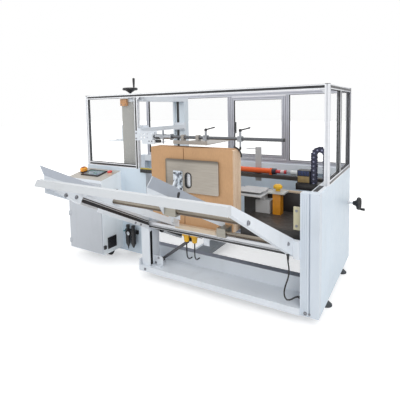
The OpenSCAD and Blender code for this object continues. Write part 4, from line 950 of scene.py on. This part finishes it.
# Drag chain, link by link: up, over the bend and down
CHAIN_X, CHAIN_Y, CHAIN_Z = (858, 940), (403, 447), (750, 952)
BEND = (CHAIN_X[1] - CHAIN_X[0]) / 2
RISE = CHAIN_Z[1] - CHAIN_Z[0]
RUN = 2 * RISE + math.pi * BEND
LINKS, LINK_T, LINK_INSET = 17, 4, 4.2
LINK_QUARTER = [(18, 12), (14, 19), (6, 21), (3, 15)]
LINK = ([(-a, -b) for a, b in LINK_QUARTER] + [(a, -b) for a, b in LINK_QUARTER[::-1]]
        + LINK_QUARTER + [(-a, b) for a, b in LINK_QUARTER[::-1]])


def chain_place(s):
    """Place on the chain's middle line, with local X along it."""
    if s < RISE:
        x, z, a = CHAIN_X[0], CHAIN_Z[0] + s, math.pi / 2
    elif s < RISE + math.pi * BEND:
        t = math.pi - (s - RISE) / BEND
        x, z, a = CHAIN_X[0] + BEND + BEND * math.cos(t), CHAIN_Z[1] + BEND * math.sin(t), t - math.pi / 2
    else:
        x, z, a = CHAIN_X[1], CHAIN_Z[1] - (s - RISE - math.pi * BEND), -math.pi / 2
    return Matrix.Translation((x, 0, z)) @ Matrix.Rotation(-a, 4, "Y")


bm = bmesh.new()
for i in range(LINKS):
    place = chain_place((i + 0.5) * RUN / LINKS)
    inset = 0 if i % 2 else LINK_INSET
    for y in (CHAIN_Y[0] + inset, CHAIN_Y[1] - inset - LINK_T):
        prism(bm, LINK, (0, y, 0), X, Z, Y * LINK_T, place)
    for z in (-18.5, 15.5):
        block(bm, (-5, CHAIN_Y[0] + 4.5, z), (5, CHAIN_Y[1] - 4.5, z + 3), 0.8, place)
piece("chain_links", bm, "frame", "black_plastic", plastic("chain_black", srgb(38, 40, 66), 0.3, 0.45),
      replaces=("drag_chain",))
# The pins' light blue-grey is a painted highlight on the dark links
bm = bmesh.new()
pin = CHAIN_Y[1] - CHAIN_Y[0]
for i in range(LINKS):
    turned(bm, (0, CHAIN_Y[0], 0), Y, [(5, -0.6), (6, 0), (6, pin), (5, pin + 0.6)], 18,
           chain_place(max(0.5, i * RUN / LINKS)))
piece("chain_pins", bm, "frame", "black_plastic", plastic("pin_highlight_grey", srgb(150, 154, 182), 0.3, 0.45),
      replaces=("drag_chain",))


# Interior sheets: rear wall and apron of the table, dark grey as painted shade of the interior; lip of the
# chain shelf, valves on the shelf
SHEET_T, WALL_TOP, WALL_LEFT = 4, 692, 640
FORMING_LEFT, FORMING_REAR, FORMING_FOOT = 345, 355, 456
APRON_X, APRON_FOOT = (500, 908), 452
bed_low, bed_high = corners("bed_plate")
wall_y, wall_end = bed_high.y - SHEET_T, bed_high.x - 2
bm = bmesh.new()
for a, b in (
        ((WALL_LEFT, wall_y, bed_high.z), (wall_end, bed_high.y, WALL_TOP)),
        ((WALL_LEFT, wall_y, bed_high.z), (WALL_LEFT + SHEET_T, FORMING_REAR, WALL_TOP)),
        ((FORMING_LEFT, FORMING_REAR - SHEET_T, FORMING_FOOT), (WALL_LEFT, FORMING_REAR, WALL_TOP)),
        ((APRON_X[0], bed_low.y, APRON_FOOT), (APRON_X[1], bed_low.y + SHEET_T, bed_low.z))):
    block(bm, a, b, 0.8)
# painted shade: the interior sheets dark grey
piece("bed_sheets", bm, "frame", "dark_steel", painted("sheet_painted_shade", srgb(52, 50, 50), 0.4, 0.6, 0.2))
bm = bmesh.new()
block(bm, (WALL_LEFT, wall_y - 2, WALL_TOP), (wall_end, bed_high.y + 2, WALL_TOP + 16), 1.5)
piece("bed_edge", bm, "frame", "tan_bar")
LIP_T, LIP_Z = 6, (704, 746)
shelf_low, shelf_high = corners("chain_shelf")
lip_x, lip_y = shelf_low.x + 2, shelf_low.y - LIP_T
bm = bmesh.new()
block(bm, (lip_x, lip_y, LIP_Z[0]), (shelf_high.x - 2, shelf_low.y, LIP_Z[1]), 1.5)
block(bm, (lip_x, lip_y, LIP_Z[0]), (lip_x + LIP_T, lip_y + 36, LIP_Z[1]), 1.5)
piece("shelf_lip", bm, "frame", "black_plastic")

VALVE_Y, COIL_Y, COILS, COIL_PITCH, COIL_W = 384, 379.5, 4, 20, 17
bm = bmesh.new()
block(bm, (752, VALVE_Y - 3, 756), (834, VALVE_Y, 800), 1.0)
piece("valve_plate", bm, "frame", "yellow_plastic", plastic("bronze", srgb(150, 128, 84), 0.35, 0.5))
bm = bmesh.new()
for k in range(COILS):
    x = 754 + COIL_PITCH * k
    block(bm, (x, COIL_Y, 806), (x + COIL_W, VALVE_Y, 838), 1.6)
    turned(bm, (x + COIL_W / 2, COIL_Y, 822), -Y, [(5, 0), (5, 2), (3.5, 2.6), (0, 2.6)], 16)
piece("valve_coils", bm, "frame", "black_plastic", plastic("navy", srgb(44, 58, 98), 0.3, 0.45))


# Magazine: guide lever and feed bracket
LEVER = Vector((478, -752, corners("guide_clamps")[1].z))
LEVER_WAY = Vector((0.12, 0.2, 1)).normalized()
bm = bmesh.new()
turned(bm, LEVER, Z, [(11, 0), (11, 8), (9, 10), (8, 22), (0, 22)], 22)
turned(bm, LEVER + Z * 15, LEVER_WAY, [
    (6.5, 0), (6.5, 8), (5.5, 20), (6.5, 44), (6, 56), (3, 59), (0, 59.5)], 20)
piece("guide_lever", bm, "frame", "black_plastic")
BRACKET_LOW, BRACKET_HIGH, BRACKET_T = Vector((238, -100, 352)), Vector((284, -62, feed_low.z)), 4
inner_x = BRACKET_LOW.x + BRACKET_T
bm = bmesh.new()
for a, b in (
        (BRACKET_LOW, (inner_x, BRACKET_HIGH.y, BRACKET_HIGH.z)),
        ((inner_x, BRACKET_LOW.y, BRACKET_HIGH.z - BRACKET_T), BRACKET_HIGH),
        ((inner_x, BRACKET_LOW.y, BRACKET_LOW.z),
         (BRACKET_HIGH.x, BRACKET_LOW.y + BRACKET_T, BRACKET_HIGH.z - BRACKET_T))):
    block(bm, a, b, 1)
piece("feed_bracket", bm, "frame", "white_paint")


# Pusher: rubber edging and cup of the hand hole, and bracket screws
HOLE_X, HOLE_Z, HOLE_R, HOLE_HALF = 128, 801, 23, 28  # middle, end radius and half the straight length
HOLE_POINTS = 40
plate_front = corners("pusher_plate")[0].y
EDGING = [(-1.5, -4), (4.5, -4), (5.5, -2.5), (5.5, 0), (0.4, 0), (0.4, 6), (5.5, 6), (5.5, 8), (4.5, 8.5),
          (0.6, 8.5), (0.6, 11.2), (-1.5, 11.2)]


def hole_outline(r):
    """Points round the hand hole, an upright slot with round ends, as X and Z."""
    return [(HOLE_X + a, HOLE_Z + b + math.copysign(HOLE_HALF, b)) for a, b in circle(r, HOLE_POINTS)]


bm = bmesh.new()
loops = [[bm.verts.new((x, plate_front + b, z)) for x, z in hole_outline(HOLE_R + a)] for a, b in EDGING]
skin(bm, [list(row) for row in zip(*loops)], closed=True)
piece("hand_hole_edge", bm, "pusher", "rubber")
bm = bmesh.new()
prism(bm, hole_outline(HOLE_R - 0.5), (0, plate_front + EDGING[-1][1], 0), X, Z, Y * 1.6)
piece("hand_hole_cup", bm, "pusher", "bright_steel",
      metal("cup_steel", srgb(206, 208, 212), 0.25, 0.4, 220, DRAWN))
bm = bmesh.new()
for x in (14, 72):
    for z in (736, 790, 846):
        screw(bm, (x, plate_front - 5, z), -Y, 6.5)
piece("pusher_screws", bm, "pusher", "black_plastic")


# Handwheels: dished wheels with a thick rim and a turned grip
def rim(r, h, half_r, half_h, n=16):
    """Oval section of a rim, its middle at a radius and a height."""
    return [(r + half_r * a, h + half_h * b) for a, b in circle(1, n)]


GRIP_ROOT = [(4.5, -14), (4.5, 0), (7, 0.5), (8, 3), (7.6, 8)]
# Here the heights are shares of the grip's length
GRIP_BODY = [(9, 0.35), (10.4, 0.7), (10.8, 0.88), (9.5, 0.96), (5, 1.0), (0, 1.0)]


def grip(bm, at, axis, length):
    """A turned grip on its pin."""
    turned(bm, at, axis, GRIP_ROOT + [(r, share * length) for r, share in GRIP_BODY], 22)


TOP_WHEEL = joint_at("top_handwheel_turn") + Z * 26
TOP_GRIP_R, TOP_GRIP_TURN = 59.5, math.radians(-15)
bm = bmesh.new()
ringed(bm, TOP_WHEEL, Z, rim(58, 17, 8.5, 11))
turned(bm, TOP_WHEEL, Z, [(12, -18), (14, -14), (50, 9), (54, 13), (54, 21), (48, 21), (22, 12), (18, 26),
                          (14, 28), (0, 28)], 48)
grip(bm, TOP_WHEEL + Vector((TOP_GRIP_R * math.cos(TOP_GRIP_TURN), TOP_GRIP_R * math.sin(TOP_GRIP_TURN), 30)),
     Z, 79)
piece("top_wheel", bm, "top_handwheel", "black_plastic", replaces=("top_handwheel",))
bm = bmesh.new()
turned(bm, TOP_WHEEL, Z, [(8, -84), (8, -18), (7, -17)], 24)
piece("top_shaft", bm, "top_handwheel", "bright_steel", MATS["aluminium"], replaces=("top_handwheel",))

SIDE_WHEEL = joint_at("side_handwheel_turn") + X * 55
bm = bmesh.new()
ringed(bm, SIDE_WHEEL, X, rim(41, 26, 9, 15))
turned(bm, SIDE_WHEEL, X, [(13, -18), (16, -16), (19, -4), (26, 6), (36, 18), (37, 32), (30, 33), (20, 26),
                           (16, 30), (0, 31)], 44)
grip(bm, SIDE_WHEEL + Vector((28, 0, -43)), X, 42)
piece("side_wheel", bm, "side_handwheel", "black_plastic", replaces=("side_handwheel",))
bm = bmesh.new()
turned(bm, SIDE_WHEEL, X, [(8, -95), (8, -18), (7, -17)], 24)
piece("side_shaft", bm, "side_handwheel", "bright_steel", MATS["aluminium"], replaces=("side_handwheel",))


# Clamping levers, and the hook over the stack's corner
rod_low, rod_high = corners("hold_down_rod")
rod_y, rod_z = (rod_low.y + rod_high.y) / 2, (rod_low.z + rod_high.z) / 2
clamp_top = corners("rod_clamps")[1].z
CLAMPS_X = (224, 487)
LEVER_LEAN = math.radians(76)
arm = Vector((math.sin(LEVER_LEAN), 0, math.cos(LEVER_LEAN)))
# The hook's middle in X and Z, its radius, its first angle and step in degrees, and its number of points
HOOK, HOOK_R, HOOK_START, HOOK_STEP, HOOK_POINTS = (433, 980), 60, -6, 5, 19
bm = bmesh.new()
for x in CLAMPS_X:
    turned(bm, (x, rod_y, clamp_top), Z, [(8, 0), (10, 1), (10, 12), (8.5, 16), (5, 18), (0, 18)], 24)
    turned(bm, (x, rod_y, clamp_top + 9), arm, [
        (5.5, 0), (5, 10), (4.2, 40), (5, 62), (5.6, 70), (4, 74), (0, 75)], 18)
bends = [math.radians(HOOK_START + HOOK_STEP * k) for k in range(HOOK_POINTS)]
swept(bm, [(HOOK[0] + HOOK_R * math.cos(t), rod_y, HOOK[1] + HOOK_R * math.sin(t)) for t in bends], 5.5)
turned(bm, (CLAMPS_X[1], rod_y, 1022), Z, [(6, 0), (7, 1), (7, 19), (6, 20)], 20)
piece("levers_and_hook", bm, "crosshead", "black_plastic", replaces=("clamp_levers",))


# Strut between the front beam and the foot bracket
STRUT_FOOT, STRUT_HEAD = Vector((-222, 28, 112)), Vector((99, -52, 351))
strut = STRUT_HEAD - STRUT_FOOT
bm = bmesh.new()
turned(bm, STRUT_FOOT, strut, [
    (7, 14), (11, 15), (11.5, 17), (11.5, strut.length - 34), (10.5, strut.length - 32),
    (7, strut.length - 31)], 24)
piece("strut_tube", bm, "frame", "black_plastic", painted("strut_grey", srgb(84, 84, 88), 0.3, 0.45, 0.15))


# Crosshead: screws, the rod's end cap, its collar and a knob below it
CROSSHEAD_SCREWS = [
    ([(-525, 105, 1060), (-525, 105, 1105), (-325, 105, 1062), (-325, 105, 1108)], 7),
    ([(x, corners("crosshead_beam")[0].y, 1058) for x in (-268, -242)], 6),
    ([(x, rod_y - 18, 1104) for x in CLAMPS_X], 5),
]
bm = bmesh.new()
for seats, d in CROSSHEAD_SCREWS:
    for at in seats:
        screw(bm, at, -Y, d)
piece("crosshead_screws", bm, "crosshead", "bright_steel", ZINC)
bm = bmesh.new()
turned(bm, (rod_high.x, rod_y, rod_z), X, [(11, 0), (11.4, 0.6), (11.4, 6), (9, 8), (0, 8)], 26)
turned(bm, (-212, rod_y, rod_z - 4), X, [
    (15, 0), (18, 1), (18, 9), (16.5, 10), (18, 11), (18, 38), (16, 40)], 26)
turned(bm, (-236, rod_y, 1060), X, [(4, 0), (4, 22), (9, 23), (11, 25), (11, 60), (9, 63), (0, 63)], 22)
piece("rod_cap", bm, "crosshead", "black_plastic")
